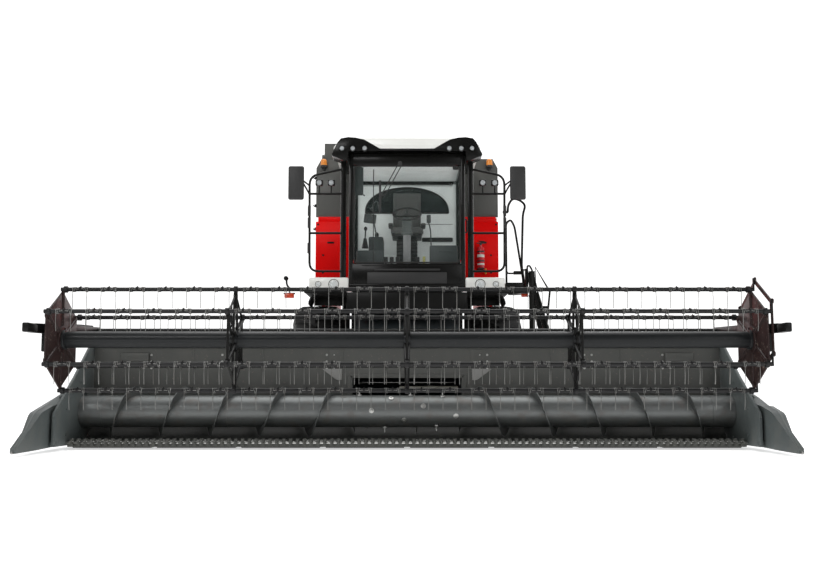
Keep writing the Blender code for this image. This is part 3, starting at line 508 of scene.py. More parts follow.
# ---- knife: guards, sections and hold-downs ----
# Forged guards every three inches, each a tapered finger slotted for the knife, and between them the
# triangular sections of the knife, riveted to its back.
knife = Piece("knife_bar")
knife.box((-HALF + 0.01, HALF - 0.01), (knife_high.y - 0.045, knife_high.y - 0.001),
          (knife_low.z, knife_high.z - 0.02), 0.004)
SPACING = 0.0762
guards = Piece("knife_guards")
count = int((HALF - 0.05) / SPACING)
for k in range(-count, count + 1):
    x = k * SPACING
    guards.box(centred(x, 0.019), (knife_high.y - 0.06, knife_high.y - 0.006),
               (0.040, knife_high.z + 0.012), 0.004)
    guards.rod((x, knife_high.y - 0.050, 0.088), (x, knife_low.y + 0.002, knife_low.z + 0.012), 0.024,
               8, tip=0.007)
guards.box((-HALF + 0.01, HALF - 0.01), (knife_high.y - 0.030, knife_high.y - 0.004), (0.030, 0.075), 0.006)
forged = enamel("worn_steel_guards", (0.085, 0.088, 0.080), 0.5, dust=0.25, chips=0.3, coat=0.0, gloss=0.35)
guards.done(forged, "header", "cutterbar")

skids = Piece("header_skid_plates")
for k in range(8):
    x = -3.30 + k * 0.943
    skids.box(centred(x, 0.44), (knife_high.y + 0.002, knife_high.y + 0.45), (0.018, 0.034), 0.006)
skids.done(black, "header")

sections = [(0.0, -0.045), (SPACING * 0.47, -0.045), (0.007, -0.118), (-0.007, -0.118),
            (-SPACING * 0.47, -0.045)]
for k in range(-count, count):
    middle = (k + 0.5) * SPACING
    knife.sheet([(middle + x, knife_high.y + y) for x, y in sections], "z",
                (knife_high.z - 0.016, knife_high.z - 0.012), 0)
knife.done(zinc, "header")

# ---- crop dividers ----
# Each end of the table has a long pressed nose that parts standing crop, in two skins folded along a
# top ridge, with a cast tip that skims the ground.
for side, sign in SIDES:
    nose = Piece(f"crop_nose_{side}")
    low, high = reach(f"crop_divider_{side}")
    near = HALF + 0.064
    far = max(abs(low.x), abs(high.x)) - 0.002
    ridge = near + 0.07
    rows = [(-2.62, near + 0.045, 0.10, 0.76), (-2.95, far - 0.01, 0.06, 0.66), (-3.25, far, 0.05, 0.59),
            (-3.55, far, 0.045, 0.505), (-3.845, far - 0.004, 0.042, 0.443),
            (-3.90, far - 0.006, 0.040, 0.415), (-4.15, far - 0.045, 0.036, 0.245),
            (low.y + 0.03, near + 0.115, 0.034, 0.085)]
    loops = []
    for y, outer, base, top in rows:
        inner = near if y > -3.88 else near + 0.05 * (-3.88 - y) / 0.5
        crest = min(ridge, (inner + outer) / 2) if y > -3.2 else (inner + outer) / 2
        square = min(1.0, max(0.0, (-3.0 - y) / 0.5))            # the nose squares up toward its flat front
        inner_fold = base + (top - base) * (0.75 + 0.22 * square)
        outer_fold = base + (top - base) * (0.42 + 0.54 * square)
        ring = [(inner, base), (inner, inner_fold), (crest - 0.02, top - 0.01), (crest, top),
                (crest + 0.02, top - 0.012), (outer, outer_fold), (outer, base)]
        verts = [nose.bm.verts.new((sign * x, y, z)) for x, z in ring]
        loops.append([nose.bm.edges.new((a, b)) for a, b in zip(verts, verts[1:] + verts[:1])])
    for here, there in zip(loops, loops[1:]):
        bmesh.ops.bridge_loops(nose.bm, edges=here + there)
    for ends in (loops[0], loops[-1]):
        bmesh.ops.contextual_create(nose.bm, geom=ends)
    nose.bolts([(sign * (far - 0.001), y, 0.12) for y in (-3.0, -3.2, -3.4)], (sign, 0, 0), 0.010, 0.005)
    nose.done(nose_paint, "header", f"crop_divider_{side}", smooth=25)
    shoe = Piece(f"crop_tip_{side}")
    middle = near + 0.09
    shoe.rod((sign * middle, -4.20, 0.062), (sign * middle, low.y + 0.003, 0.040), 0.035, 14, tip=0.012,
             round_off=0.004)
    shoe.done(steel, "header")

# ---- table auger ----
# A rolled tube with left-hand and right-hand flights that bring crop to the middle, where fingers come
# out of the tube through guide bosses and push it into the feeder.


def on_auger(x):
    """A point on the table auger's axis."""
    return x, AUGER_Y, AUGER_Z


auger = Piece("table_auger_tube")
TUBE, FLIGHT, PITCH, FLIGHT_IN = 0.185, 0.292, 0.58, 0.62
auger.rod(on_auger(auger_low.x), on_auger(auger_high.x), TUBE, 48)
for sign in (1, -1):
    for x in (0.62, 2.1, 3.55):
        auger.rod(on_auger(sign * x - 0.012), on_auger(sign * x + 0.012), TUBE + 0.004, 48)
for sign in (1, -1):
    start, end = sign * (HALF - 0.045), sign * FLIGHT_IN
    turns = abs(end - start) / PITCH
    section = ((-0.003, TUBE - 0.01), (-0.003, FLIGHT), (0.003, FLIGHT), (0.003, TUBE - 0.01))
    verts = [auger.bm.verts.new((start + dx, AUGER_Y, AUGER_Z + radius)) for dx, radius in section]
    face = auger.bm.faces.new(verts)
    steps = int(turns * 40)
    bmesh.ops.spin(auger.bm, geom=[face], cent=on_auger(start), axis=(1, 0, 0),
                   angle=-2 * math.pi * turns, dvec=((end - start) / steps, 0, 0), steps=steps)
auger_steel = metal("auger_steel", (0.190, 0.200, 0.197), 0.42, (0.4, 5, 5), rust=0.2, metallic=0.75)
auger.done(auger_steel, "table_auger_body", "table_auger", smooth=30)

fingers = Piece("auger_fingers")
FINGER_TURN = 137                                             # degrees from one finger to the next
for k in range(16):
    x = -0.56 + 0.075 * k
    angle = math.radians(FINGER_TURN * k)
    out = Vector((0, math.sin(angle), math.cos(angle)))
    core = Vector(on_auger(x))
    length = 0.10 if out.y > 0.2 else (0.06 if out.y > -0.5 else 0.025)
    fingers.rod(core + out * (TUBE - 0.02), core + out * (TUBE + length), 0.008, 10, round_off=0.002)
    fingers.rod(core + out * (TUBE - 0.01), core + out * (TUBE + 0.010), 0.030, 16, round_off=0.003)
fingers.done(zinc, "table_auger_body")

# ---- reel: main tube, end plates and spiders ----
# A thin steel tube carries pressed hexagon plates at its ends and open six-armed spiders between, and
# these carry the six tine bars at their corners.
bar_low, bar_high = reach("tine_bar_1")
below_low = reach("tine_bar_4")[0]
BAR_R, REEL_R = 0.022, (bar_low.z - below_low.z) / 2
REEL_Y, REEL_Z = (bar_low.y + bar_high.y) / 2, below_low.z + BAR_R + REEL_R
END_X = 3.70
SPIDERS = (-1.84, 0.0, 1.80)
CORNERS = [math.radians(60 * k) for k in range(6)]
CORNER_R = REEL_R - BAR_R - 0.002


def on_reel(x):
    """A point on the reel's own axis."""
    return x, REEL_Y, REEL_Z


def corner(angle, radius, along):
    """A point about the reel's axis, its angle measured from the top."""
    return (along, REEL_Y + radius * math.sin(angle), REEL_Z + radius * math.cos(angle))


main_tube = Piece("reel_tube")
main_tube.rod(on_reel(-END_X - 0.09), on_reel(END_X + 0.09), 0.0872, 40)
for x in (*SPIDERS, -END_X + 0.03, END_X - 0.03):
    main_tube.rod(on_reel(x - 0.03), on_reel(x + 0.03), 0.105, 40, round_off=0.006)
tube_enamel = enamel("reel_tube_enamel", (0.0085, 0.010, 0.011), 0.32, dust=0.01, chips=0.05, coat=0.0,
                     gloss=0.28, peel=0.0)
main_tube.done(tube_enamel, "reel", "reel_rotor")

ends = Piece("reel_end_plates")
for sign in (1, -1):
    hexagon = [corner(a, CORNER_R, 0)[1:] for a in CORNERS]
    ends.sheet(hexagon, "x", (sign * (END_X - 0.010), sign * (END_X - 0.004)), 0.0015)
    for a, b in zip(CORNERS, CORNERS[1:] + CORNERS[:1]):      # folded rim and pressed spokes
        ends.rod(corner(a, CORNER_R - 0.004, sign * END_X), corner(b, CORNER_R - 0.004, sign * END_X),
                 0.010, 8)
        ends.rod(corner(a, 0.10, sign * (END_X - 0.010)), corner(a, CORNER_R, sign * (END_X - 0.010)),
                 0.016, 8)
        ends.rod(corner(a, CORNER_R - 0.05, sign * END_X - 0.022),
                 corner(a, CORNER_R - 0.05, sign * END_X + 0.014), 0.03, 16)
    ends.rod(on_reel(sign * (END_X - 0.03)), on_reel(sign * (END_X + 0.012)), 0.15, 32, round_off=0.004)
    ends.bolts([corner(a + 0.26, 0.125, sign * (END_X - 0.03)) for a in CORNERS], (-sign, 0, 0), 0.010)
ends.done(umber, "reel")

spiders = Piece("reel_spiders")
for x in SPIDERS:
    for k, a in enumerate(CORNERS):
        b = CORNERS[(k + 1) % 6]
        for lean in (0.022, -0.022):                          # each arm is a pair of flat straps
            spiders.rod(corner(a, 0.09, x + lean), corner(a, CORNER_R, x + lean * 0.35), 0.014, 8)
        spiders.rod(corner(a, CORNER_R - 0.03, x), corner(b, CORNER_R - 0.03, x), 0.0125, 8)
        spiders.rod(corner(a, 0.24, x), corner(a + 0.52, REEL_R * 0.80, x), 0.007, 6)
        spiders.rod(corner(a, CORNER_R - 0.05, x - 0.02), corner(a, CORNER_R - 0.05, x + 0.02), 0.026, 14)
    spiders.rod(on_reel(x - 0.012), on_reel(x + 0.012), 0.135, 28, round_off=0.003)
    spiders.bolts([corner(a + 0.52, 0.118, x - 0.012) for a in CORNERS], (-1, 0, 0), 0.008)
spiders.done(black, "reel")

# ---- reel: tine bars ----
# Six tubes turn against the reel, so that their tines always hang straight down. A double spring tine
# is wound from one wire: a finger, a coil round the tube, a clamped bridge, a coil and a finger.
TINE_STEP, TINE, WIRE = 0.1524, 0.205, 0.0034
tine = Piece("tine_template")
coil_r, coils, coil_steps = BAR_R + 0.006, 2.25, 10
for hand in (1, -1):
    route = []
    for k in range(int(coils * coil_steps) + 1):
        turn = 2 * math.pi * k / coil_steps
        route.append((hand * (TINE_STEP / 2 - 0.030 + 0.008 * turn / math.pi), -coil_r * math.cos(turn),
                      coil_r * math.sin(turn)))
    tip_x = hand * TINE_STEP / 2
    route += [(tip_x, -coil_r - 0.004, -0.020), (tip_x, -coil_r - 0.006, -TINE * 0.5),
              (tip_x, -coil_r + 0.010, -TINE)]
    tine.tube(route, WIRE, 6)
tine.tube([(-TINE_STEP / 2 + 0.030, -coil_r, 0), (-0.02, -coil_r, 0.004), (0.02, -coil_r, 0.004),
           (TINE_STEP / 2 - 0.030, -coil_r, 0)], WIRE, 6)
double_tine = bpy.data.meshes.new("double_tine")
tine.bm.to_mesh(double_tine)
tine.bm.free()
tine_wire = metal("tine_wire", (0.26, 0.26, 0.25), 0.38, (6, 6, 0.5), rust=0.2)
bar_finish = enamel("reel_enamel_bar", (0.0075, 0.0075, 0.008), 0.36, dust=0.02, chips=0.1,
                    coat=0.0, gloss=0.25)
PAIRS = 24
TINE_SPOTS = [(n - (PAIRS - 1) / 2) * 2 * TINE_STEP for n in range(PAIRS)]
for k, a in enumerate(CORNERS):
    body = f"reel_bar_{k + 1}"
    centre = Vector(corner(a, REEL_R, 0))
    bar = Piece(f"tine_bar_tube_{k + 1}")
    bar.rod(centre + Vector((-END_X - 0.015, 0, 0)), centre + Vector((END_X + 0.015, 0, 0)), BAR_R, 20)
    for x in TINE_SPOTS:
        bar.box(centred(x, 0.012), (centre.y - coil_r - 0.006, centre.y + BAR_R + 0.002),
                (centre.z - 0.010, centre.z + BAR_R + 0.004), 0.003)
        bar.rod((x, centre.y, centre.z), (x, centre.y, centre.z + BAR_R + 0.014), 0.007, 8)
    for x in (*SPIDERS, -END_X + 0.035, END_X - 0.035):        # split nylon bearings on the spiders
        bar.rod(centre + Vector((x - 0.02, 0, 0)), centre + Vector((x + 0.02, 0, 0)), BAR_R + 0.014, 16,
                round_off=0.003)
    crank_high = reach(f"tine_bar_{k + 1}")[1]
    bar.box((END_X + 0.018, crank_high.x - 0.001), centred(centre.y, 0.018),
            (centre.z - 0.020, crank_high.z - 0.001), 0.006)
    bar.done(bar_finish, body, f"tine_bar_{k + 1}")
    wires = Piece(f"tines_{k + 1}")
    for x in TINE_SPOTS:
        before = set(wires.bm.verts)
        wires.bm.from_mesh(double_tine)
        made = [v for v in wires.bm.verts if v not in before]
        bmesh.ops.translate(wires.bm, verts=made, vec=(x, centre.y, centre.z))
    wires.done(tine_wire, body)

# ---- reel: control ring, arms and drive ----
# The ring turns on rollers a little above the reel's own centre and holds every crank upright. The arms
# hinge on the table's back tube and end in black caps ahead of the reel.
ring_low, ring_high = reach("reel_control_ring")
ring_z = (ring_low.z + ring_high.z) / 2
ring = Piece("control_ring")


def ring_corner(angle, radius, along):
    x, y, z = corner(angle, radius, along)
    return x, y, z + ring_z - REEL_Z


for a, b in zip(CORNERS, CORNERS[1:] + CORNERS[:1]):
    middle = (ring_low.x + ring_high.x) / 2
    ring.rod(ring_corner(a, REEL_R, middle), ring_corner(b, REEL_R, middle), 0.0075, 8)
    strap = [(a, REEL_R), (b, REEL_R), (b, REEL_R - 0.045), (a, REEL_R - 0.045)]
    ring.sheet([ring_corner(angle, radius, 0)[1:] for angle, radius in strap], "x",
               (ring_low.x + 0.001, ring_low.x + 0.009), 0)
    ring.rod(ring_corner(a, REEL_R, ring_low.x + 0.0005), ring_corner(a, REEL_R, ring_high.x - 0.0005),
             0.028, 18)
ring.done(umber, "control_ring", "reel_control_ring")

arm_low, arm_high = reach("reel_arms")
ARM_IN, ARM_OUT, ARM_Y, ARM_Z = 3.81, arm_high.x, -2.27, 1.36
arms = Piece("reel_arm_beams")
arms.rod((-ARM_IN - 0.02, ARM_Y, ARM_Z), (ARM_IN + 0.02, ARM_Y, ARM_Z), 0.049, 28)
for side, sign in SIDES:
    across = one_side(sign, ARM_IN, ARM_OUT - 0.001)
    beam = [(ARM_Y + 0.08, ARM_Z - 0.068), (ARM_Y + 0.08, ARM_Z + 0.068), (-3.0, 1.405),
            (arm_low.y + 0.22, 1.352), (arm_low.y + 0.22, 1.252), (-3.0, 1.29)]
    arms.sheet(beam, "x", across, 0.008)
    arms.box(across, (arm_low.y + 0.002, arm_low.y + 0.26), (1.252, 1.348), 0.014)
    arms.box(across, centred(REEL_Y, 0.09), (REEL_Z - 0.13, 1.33), 0.012)
    arms.rod(on_reel(sign * (ARM_IN - 0.004)), on_reel(sign * (ARM_OUT - 0.002)), 0.075, 24, round_off=0.004)
    arms.bolts([(sign * (ARM_OUT - 0.006), REEL_Y + dy, REEL_Z + dz) for dy in (-0.06, 0.06)
                for dz in (-0.09, 0.09)],
               (sign, 0, 0), 0.010, 0.004)
    arms.box(across, (-3.45, -3.38), (1.20, 1.31), 0.008)
arms.done(black, "reel_frame", "reel_arms")

drive = Piece("reel_drive_motor")
drive.rod(on_reel(-ARM_IN + 0.006), on_reel(-ARM_IN - 0.05), 0.055, 24, round_off=0.006)
drive_hose = [(REEL_Y + 0.05, REEL_Z + 0.05), (-3.4, 1.37), (-2.9, 1.415), (ARM_Y - 0.1, 1.43)]
drive.tube(bent([(-ARM_IN - 0.035, y, z) for y, z in drive_hose], 0.12), 0.009)
drive.done(rubber, "reel_frame")

# ---- cab: frame, glass and roof ----
# A welded tube frame in gloss black with bonded glass: a tall curved windscreen, a right-hand window, a
# rear-hinged door on the left, a visor band above the screen and a moulded roof with lamp wings.
cab_low, cab_high = reach("cab_frame")
CAB_X, CAB_FRONT, CAB_BACK = cab_high.x, cab_low.y, cab_high.y
FLOOR, HEAD_LINE, POST = 2.24, 3.70, 0.055
glass_low, glass_high = reach("windscreen")
screen_z = (glass_low.z, glass_high.z)
gloss_black = enamel("cab_gloss_black", (0.0035, 0.0035, 0.003), 0.24, dust=0.0, coat=0.05, gloss=0.16)


def glazing(name, tint, alpha):
    """Clear toughened glass, a little green, with its gloss kept."""
    made = Finish(name)
    film = made.noise(3, 4)
    made.wear(Base_Color=tint, Roughness=film * 0.03 + 0.015, Alpha=film * 0.03 + alpha,
              Specular_IOR_Level=0.25)
    return made.material


clear = glazing("cab_glass", (0.10, 0.13, 0.12), 0.045)
smoked = glazing("rear_glass", (0.03, 0.038, 0.038), 0.86)

lining = moulding("cab_lining", (0.74, 0.79, 0.77), 0.60, 700, 0.08)
# A faint painted glow on the lining lightens the shaded inside of the cab; the lining is no lamp.
lining_glow_shader = lining.node_tree.nodes["Principled BSDF"]
lining_glow_shader.inputs["Emission Color"].default_value = (0.74, 0.80, 0.78, 1)
lining_glow_shader.inputs["Emission Strength"].default_value = 0.16

linings = Piece("cab_jamb_linings")
shell = Piece("cab_shell")
side_span = reach("right_window")
front_y, back_y = side_span[0].y, side_span[1].y
for sign in (1, -1):
    x = one_side(sign, CAB_X - POST, CAB_X)
    shell.box(x, (CAB_FRONT, front_y), (cab_low.z, cab_high.z), 0.016)          # A-pillar
    shell.box(x, (back_y, CAB_BACK), (cab_low.z, cab_high.z), 0.012)            # rear pillar
    shell.box(x, (front_y - 0.01, back_y + 0.01), (cab_low.z, screen_z[0]), 0.006)
    shell.box(x, (front_y - 0.01, back_y + 0.01), (screen_z[1], cab_high.z), 0.006)
inside = CAB_X - POST
rail = centred(0, inside + 0.01)
shell.box(rail, (CAB_FRONT + 0.004, CAB_FRONT + 0.06), (cab_low.z, screen_z[0]), 0.010)
shell.box(rail, (CAB_FRONT + 0.002, CAB_FRONT + 0.06), (screen_z[1], cab_high.z), 0.012)
shell.box(rail, (CAB_BACK - POST, CAB_BACK), (screen_z[1], cab_high.z), 0.006)
shell.box(rail, (CAB_BACK - POST, CAB_BACK), (cab_low.z, FLOOR + 0.10), 0.006)
for sign in (1, -1):
    linings.box(one_side(sign, inside - 0.045, inside), (CAB_BACK - POST, CAB_BACK),
                (FLOOR, HEAD_LINE), 0.004)
shell.box((-inside, inside), (CAB_FRONT + 0.05, CAB_BACK - 0.05), (cab_low.z + 0.002, FLOOR - 0.012), 0.004)
shell.box((-0.60, 0.60), (CAB_FRONT, CAB_FRONT + 0.01), (2.285, 2.30), 0.003)
shell.done(gloss_black, "machine", "cab_frame")
linings.done(lining, "machine")

mat = Piece("cab_floor_mat")
mat.box((-inside + 0.004, inside - 0.004), (CAB_FRONT + 0.06, CAB_BACK - 0.056),
        (FLOOR - 0.013, FLOOR), 0.003)
for k in range(24):
    y = CAB_FRONT + 0.10 + k * 0.05
    mat.box((-inside + 0.03, inside - 0.03), (y, y + 0.014), (FLOOR - 0.002, FLOOR + 0.0035), 0.0015)
mat.done(rubber, "machine")

roof_lining = Piece("cab_headlining")
roof_lining.box((-inside, inside), (CAB_FRONT + 0.06, CAB_BACK - 0.056), (HEAD_LINE, HEAD_LINE + 0.03), 0.010)
roof_lining.box((-0.62, 0.62), (CAB_FRONT + 0.08, CAB_FRONT + 0.34),
                (HEAD_LINE - 0.055, HEAD_LINE + 0.01), 0.018)
roof_lining.done(lining, "machine")

rubber_seal = Piece("windscreen_seal")
seal_x, seal_low, seal_high = inside - 0.012, screen_z[0] + 0.012, screen_z[1] - 0.012
seal_route = [(0, seal_low), (seal_x, seal_low), (seal_x, seal_high), (-seal_x, seal_high),
              (-seal_x, seal_low), (0, seal_low)]
rubber_seal.tube(bent([(x, CAB_FRONT + 0.010, z) for x, z in seal_route], 0.07), 0.011, 8)
rubber_seal.done(rubber, "machine")

screen = Piece("windscreen_glass")                              # bowed forward across its width
bow, wide = 0.012, inside - 0.010
arc_points = [(wide * (k / 12 - 1), CAB_FRONT + 0.016 - bow * (1 - (k / 12 - 1) ** 2)) for k in range(25)]
screen.sheet(arc_points + [(x, y + 0.006) for x, y in arc_points[::-1]], "z",
             (screen_z[0] + 0.01, screen_z[1] - 0.01), 0)
screen.done(clear, "machine", "windscreen", smooth=60)

side_glass = Piece("right_window_glass")
side_glass.box((-CAB_X + 0.010, -CAB_X + 0.016), (front_y + 0.004, back_y - 0.004),
               (screen_z[0] + 0.004, screen_z[1] - 0.004), 0.001)
side_glass.done(clear, "machine", "right_window")

# The door: a bent-tube frame with bonded glass and a pull handle in front.
door_low, door_high = reach("cab_door")
door = Piece("cab_door_frame")
dy, dz = (door_low.y + 0.001, door_high.y - 0.0005), (door_low.z + 0.001, door_high.z - 0.001)
dx = (door_low.x + 0.004, CAB_X - 0.001)
door.box(dx, (dy[0], dy[0] + 0.052), dz, 0.010)
door.box(dx, (dy[1] - 0.052, dy[1]), dz, 0.010)
door.box(dx, dy, (dz[0], dz[0] + 0.082), 0.010)
door.box(dx, dy, (dz[1] - 0.052, dz[1]), 0.010)
door.done(gloss_black, "door", "cab_door")

handle = Piece("cab_door_handle")
grip = [(CAB_X - 0.01, 2.76), (CAB_X + 0.034, 2.76), (CAB_X + 0.034, 2.94), (CAB_X - 0.01, 2.94)]
handle.tube(bent([(x, dy[0] + 0.075, z) for x, z in grip], 0.02), 0.010)
handle.box((CAB_X - 0.03, CAB_X + 0.004), (dy[0] + 0.052, dy[0] + 0.10), (2.73, 2.97), 0.006)
handle.done(plastic, "door")

pane = Piece("cab_door_pane")
pane.box((door_low.x + 0.012, door_low.x + 0.018), (dy[0] + 0.046, dy[1] - 0.046),
         (dz[0] + 0.076, dz[1] - 0.046), 0.001)
pane.done(clear, "door", "cab_door_glass")

# Roof: white moulding, black lamp wings at the front corners, and a black visor band under it.
roof_low, roof_high = reach("cab_roof")
roof = Piece("roof_moulding")
crown = [(roof_low.x + 0.02, roof_low.z + 0.03), (roof_low.x + 0.05, roof_low.z + 0.10),
         (-0.80, roof_high.z - 0.020), (-0.62, roof_high.z - 0.002), (0.62, roof_high.z - 0.002),
         (0.80, roof_high.z - 0.020), (roof_high.x - 0.05, roof_low.z + 0.10),
         (roof_high.x - 0.02, roof_low.z + 0.03)]
roof.sheet(crown, "y", (roof_low.y + 0.05, roof_high.y - 0.003), 0.030)
roof.sheet([(-0.60, roof_low.z + 0.030), (-0.58, roof_high.z - 0.014), (0.58, roof_high.z - 0.014),
            (0.60, roof_low.z + 0.030)], "y", (roof_low.y + 0.016, roof_low.y + 0.20), 0.016)
roof.box((-0.55, 0.55), (roof_low.y + 0.010, roof_low.y + 0.04),
         (roof_low.z + 0.066, roof_low.z + 0.082), 0.006)
roof.done(white, "machine", "cab_roof", smooth=40)

wings = Piece("roof_lamp_wings")
LAMP_Z = 3.845
for sign in (1, -1):
    wing = [(0.33, roof_low.z + 0.010), (0.45, roof_low.z + 0.085), (0.57, roof_high.z - 0.038),
            (0.68, roof_high.z - 0.010), (0.78, roof_high.z - 0.003), (0.88, roof_high.z - 0.020),
            (0.925, roof_high.z - 0.075), (0.95, roof_low.z + 0.060), (1.003, roof_low.z - 0.045),
            (0.99, roof_low.z - 0.070), (0.93, roof_low.z - 0.090), (0.84, roof_low.z - 0.130),
            (0.79, roof_low.z - 0.130), (0.78, roof_low.z + 0.001), (0.33, roof_low.z + 0.001)]
    wings.sheet([(sign * x, z) for x, z in wing], "y", (roof_low.y + 0.008, roof_low.y + 0.30), 0.012)
wings.box((-0.93, 0.93), (roof_low.y + 0.03, roof_high.y - 0.10),
          (roof_low.z + 0.001, roof_low.z + 0.030), 0.010)
wings.box((-0.46, 0.46), (roof_low.y + 0.012, roof_low.y + 0.12),
          (roof_low.z + 0.001, roof_low.z + 0.024), 0.006)
wings.done(gloss_black, "machine", smooth=40)

# ---- lamps ----
# Each work lamp is a turned reflector bowl behind a domed lens, in a rubber-rimmed pot.
lens_glass = glazing("lamp_lens", (0.80, 0.84, 0.86), 0.30)
mirror_bowl = metal("reflector", (0.88, 0.88, 0.86), 0.14)
bowls, lenses, pots = Piece("lamp_bowls"), Piece("lamp_lenses"), Piece("lamp_pots")


def lamp(x, y, z, radius):
    """A round lamp that looks forward, its rim at y."""
    pots.turned([(0.004, radius * 1.02), (0.004, radius * 1.16), (0.020, radius * 1.16),
                 (0.045, radius * 0.75), (0.045, 0.002), (0.040, 0.002), (0.018, radius)],
                (x, y - 0.004, z), "y", 28)
    bowls.turned([(0.007, radius * 1.0), (0.020, radius * 0.82), (0.034, radius * 0.45), (0.037, 0.001),
                  (0.039, 0.001), (0.036, radius * 0.5), (0.022, radius * 0.88), (0.008, radius * 1.05)],
                 (x, y - 0.004, z), "y", 28)
    bowls.ball((x, y + 0.016, z), radius * 0.26)
    lenses.turned([(0.006, radius * 1.02), (-0.001, radius * 0.80), (-0.006, radius * 0.40), (-0.0075, 0.001),
                   (-0.005, 0.001), (-0.003, radius * 0.40), (0.002, radius * 0.80), (0.008, radius * 1.02)],
                  (x, y, z), "y", 28)


for sign in (1, -1):
    for x in (0.866, 0.722, 0.563):
        lamp(sign * x, roof_low.y + 0.008, LAMP_Z, 0.036)

box_low, box_high = reach("headlight_panels")
panel_front = box_low.y + 0.009
pods = Piece("headlamp_pods")
for sign in (1, -1):
    x = one_side(sign, 0.772, 1.293)
    pods.box(x, (box_low.y + 0.012, box_high.y - 0.001), (1.967, 2.128), 0.022)
    lamp(sign * 0.966, panel_front, 2.035, 0.060)
    lamp(sign * 1.171, panel_front, 2.035, 0.036)
pods.done(white, "machine", "headlight_panels")

sill_strip = Piece("cab_sill_strip")
sill_strip.box((-0.80, 0.80), (box_high.y - 0.030, box_high.y - 0.001), (2.006, 2.044), 0.006)
for sign in (1, -1):                                          # posts that carry the guard loops
    sill_strip.box(one_side(sign, 0.812, 0.892), (-1.415, -1.375), (2.12, 3.70), 0.014)
sill_strip.done(gloss_black, "machine")

# ---- guard loops, mirrors and beacons ----
# Bent tube loops stand on the headlamp pods and run up to the pillars, with two cross bars, foam grip
# sleeves, a pair of work lamps and a wide mirror on each.
MIRROR_X = (1.37, 1.58)
mirror_silver = metal("mirror_silver", (0.88, 0.90, 0.90), 0.12)
RAIL_Y, RAIL_R, OUTER, INNER = -1.49, 0.0155, 1.30, 0.86
for side, sign in SIDES:
    loop = Piece(f"guard_loop_{side}")
    route = bent([(sign * INNER, RAIL_Y, 2.21), (sign * (OUTER - 0.01), RAIL_Y, 2.21),
                  (sign * OUTER, RAIL_Y, 3.49), (sign * (INNER + 0.02), RAIL_Y, 3.58),
                  (sign * INNER, RAIL_Y, 3.54), (sign * INNER, RAIL_Y, 2.131)], 0.12)
    loop.tube(route, RAIL_R, 12)
    for z in (2.72, 3.25):
        loop.rod((sign * INNER, RAIL_Y, z), (sign * OUTER, RAIL_Y, z), RAIL_R, 14)
    loop.tube(bent([(sign * OUTER, RAIL_Y, 3.24), (sign * (OUTER + 0.03), RAIL_Y - 0.01, 3.30),
                    (sign * (MIRROR_X[0] + 0.03), RAIL_Y - 0.02, 3.42)], 0.03), 0.011, 10)
    loop.tube(bent([(sign * OUTER, RAIL_Y, 3.36), (sign * (OUTER + 0.05), RAIL_Y - 0.01, 3.40),
                    (sign * (MIRROR_X[0] + 0.04), RAIL_Y - 0.02, 3.44)], 0.03), 0.011, 10)
    for x in (1.17, 1.01):
        loop.rod((sign * x, RAIL_Y, 3.25), (sign * x, RAIL_Y, 3.37), 0.010, 10)
        loop.box(centred(sign * x, 0.05), (RAIL_Y - 0.030, RAIL_Y + 0.03), (3.355, 3.437), 0.014)
        lamp(sign * x, RAIL_Y - 0.034, 3.395, 0.036)
    loop.done(black, "machine", f"handrail_{side}")
    back = Piece(f"mirror_shell_{side}")
    across = one_side(sign, MIRROR_X[0], MIRROR_X[1])
    back.box(across, (RAIL_Y - 0.058, RAIL_Y - 0.008), (3.162, 3.618), 0.045)
    back.done(plastic, "machine")
    face = Piece(f"mirror_glass_{side}")
    face.box((across[0] + 0.018, across[1] - 0.018), (RAIL_Y - 0.010, RAIL_Y - 0.004), (3.185, 3.595), 0.002)
    face.done(mirror_silver, "machine")
grips = Piece("grip_sleeves")
for z in (2.52, 2.86, 3.02):
    for x in (-OUTER, OUTER):
        grips.rod((x, RAIL_Y, z - 0.07), (x, RAIL_Y, z + 0.07), 0.021, 16, round_off=0.004)
grips.done(rubber, "machine")
bowls.done(mirror_bowl, "machine")
lenses.done(lens_glass, "machine")
pots.done(plastic, "machine")

# ---- cab: rear wall, window and blind ----
# Light grey moulded lining round a half-ellipse of smoked glass, with a pressed contour round it.
wall_low, wall_high = reach("cab_rear_wall")
pane_low, pane_high = reach("rear_window")
PANE_X, PANE_H = pane_high.x + 0.001, pane_high.z - pane_low.z + 0.001
arc = [math.radians(a) for a in range(0, 181, 6)]
wall = Piece("cab_rear_lining")
wall_y = (wall_low.y + 0.001, wall_high.y - 0.001)
hole = [(PANE_X * math.cos(a), pane_low.z + PANE_H * math.sin(a) ** 0.85) for a in arc]
wall.box((wall_low.x, wall_high.x), wall_y, (wall_low.z, pane_low.z), 0)
wall.sheet([(wall_high.x, pane_low.z), *hole, (wall_low.x, pane_low.z), (wall_low.x, wall_high.z),
            (wall_high.x, wall_high.z)], "y", wall_y, 0)
wall.tube([(x * 1.10, wall_low.y, pane_low.z - 0.075 + (z - pane_low.z + 0.075) * 1.05) for x, z in hole]
          + [(-PANE_X * 1.03, wall_low.y, pane_low.z - 0.085),
             (PANE_X * 1.03, wall_low.y, pane_low.z - 0.085)],
          0.006, 8, closed=True)
wall.box((-0.66, 0.66), (wall_low.y - 0.012, wall_low.y + 0.004), (2.36, 2.60), 0.012)
wall.done(lining, "machine", "cab_rear_wall", smooth=50)

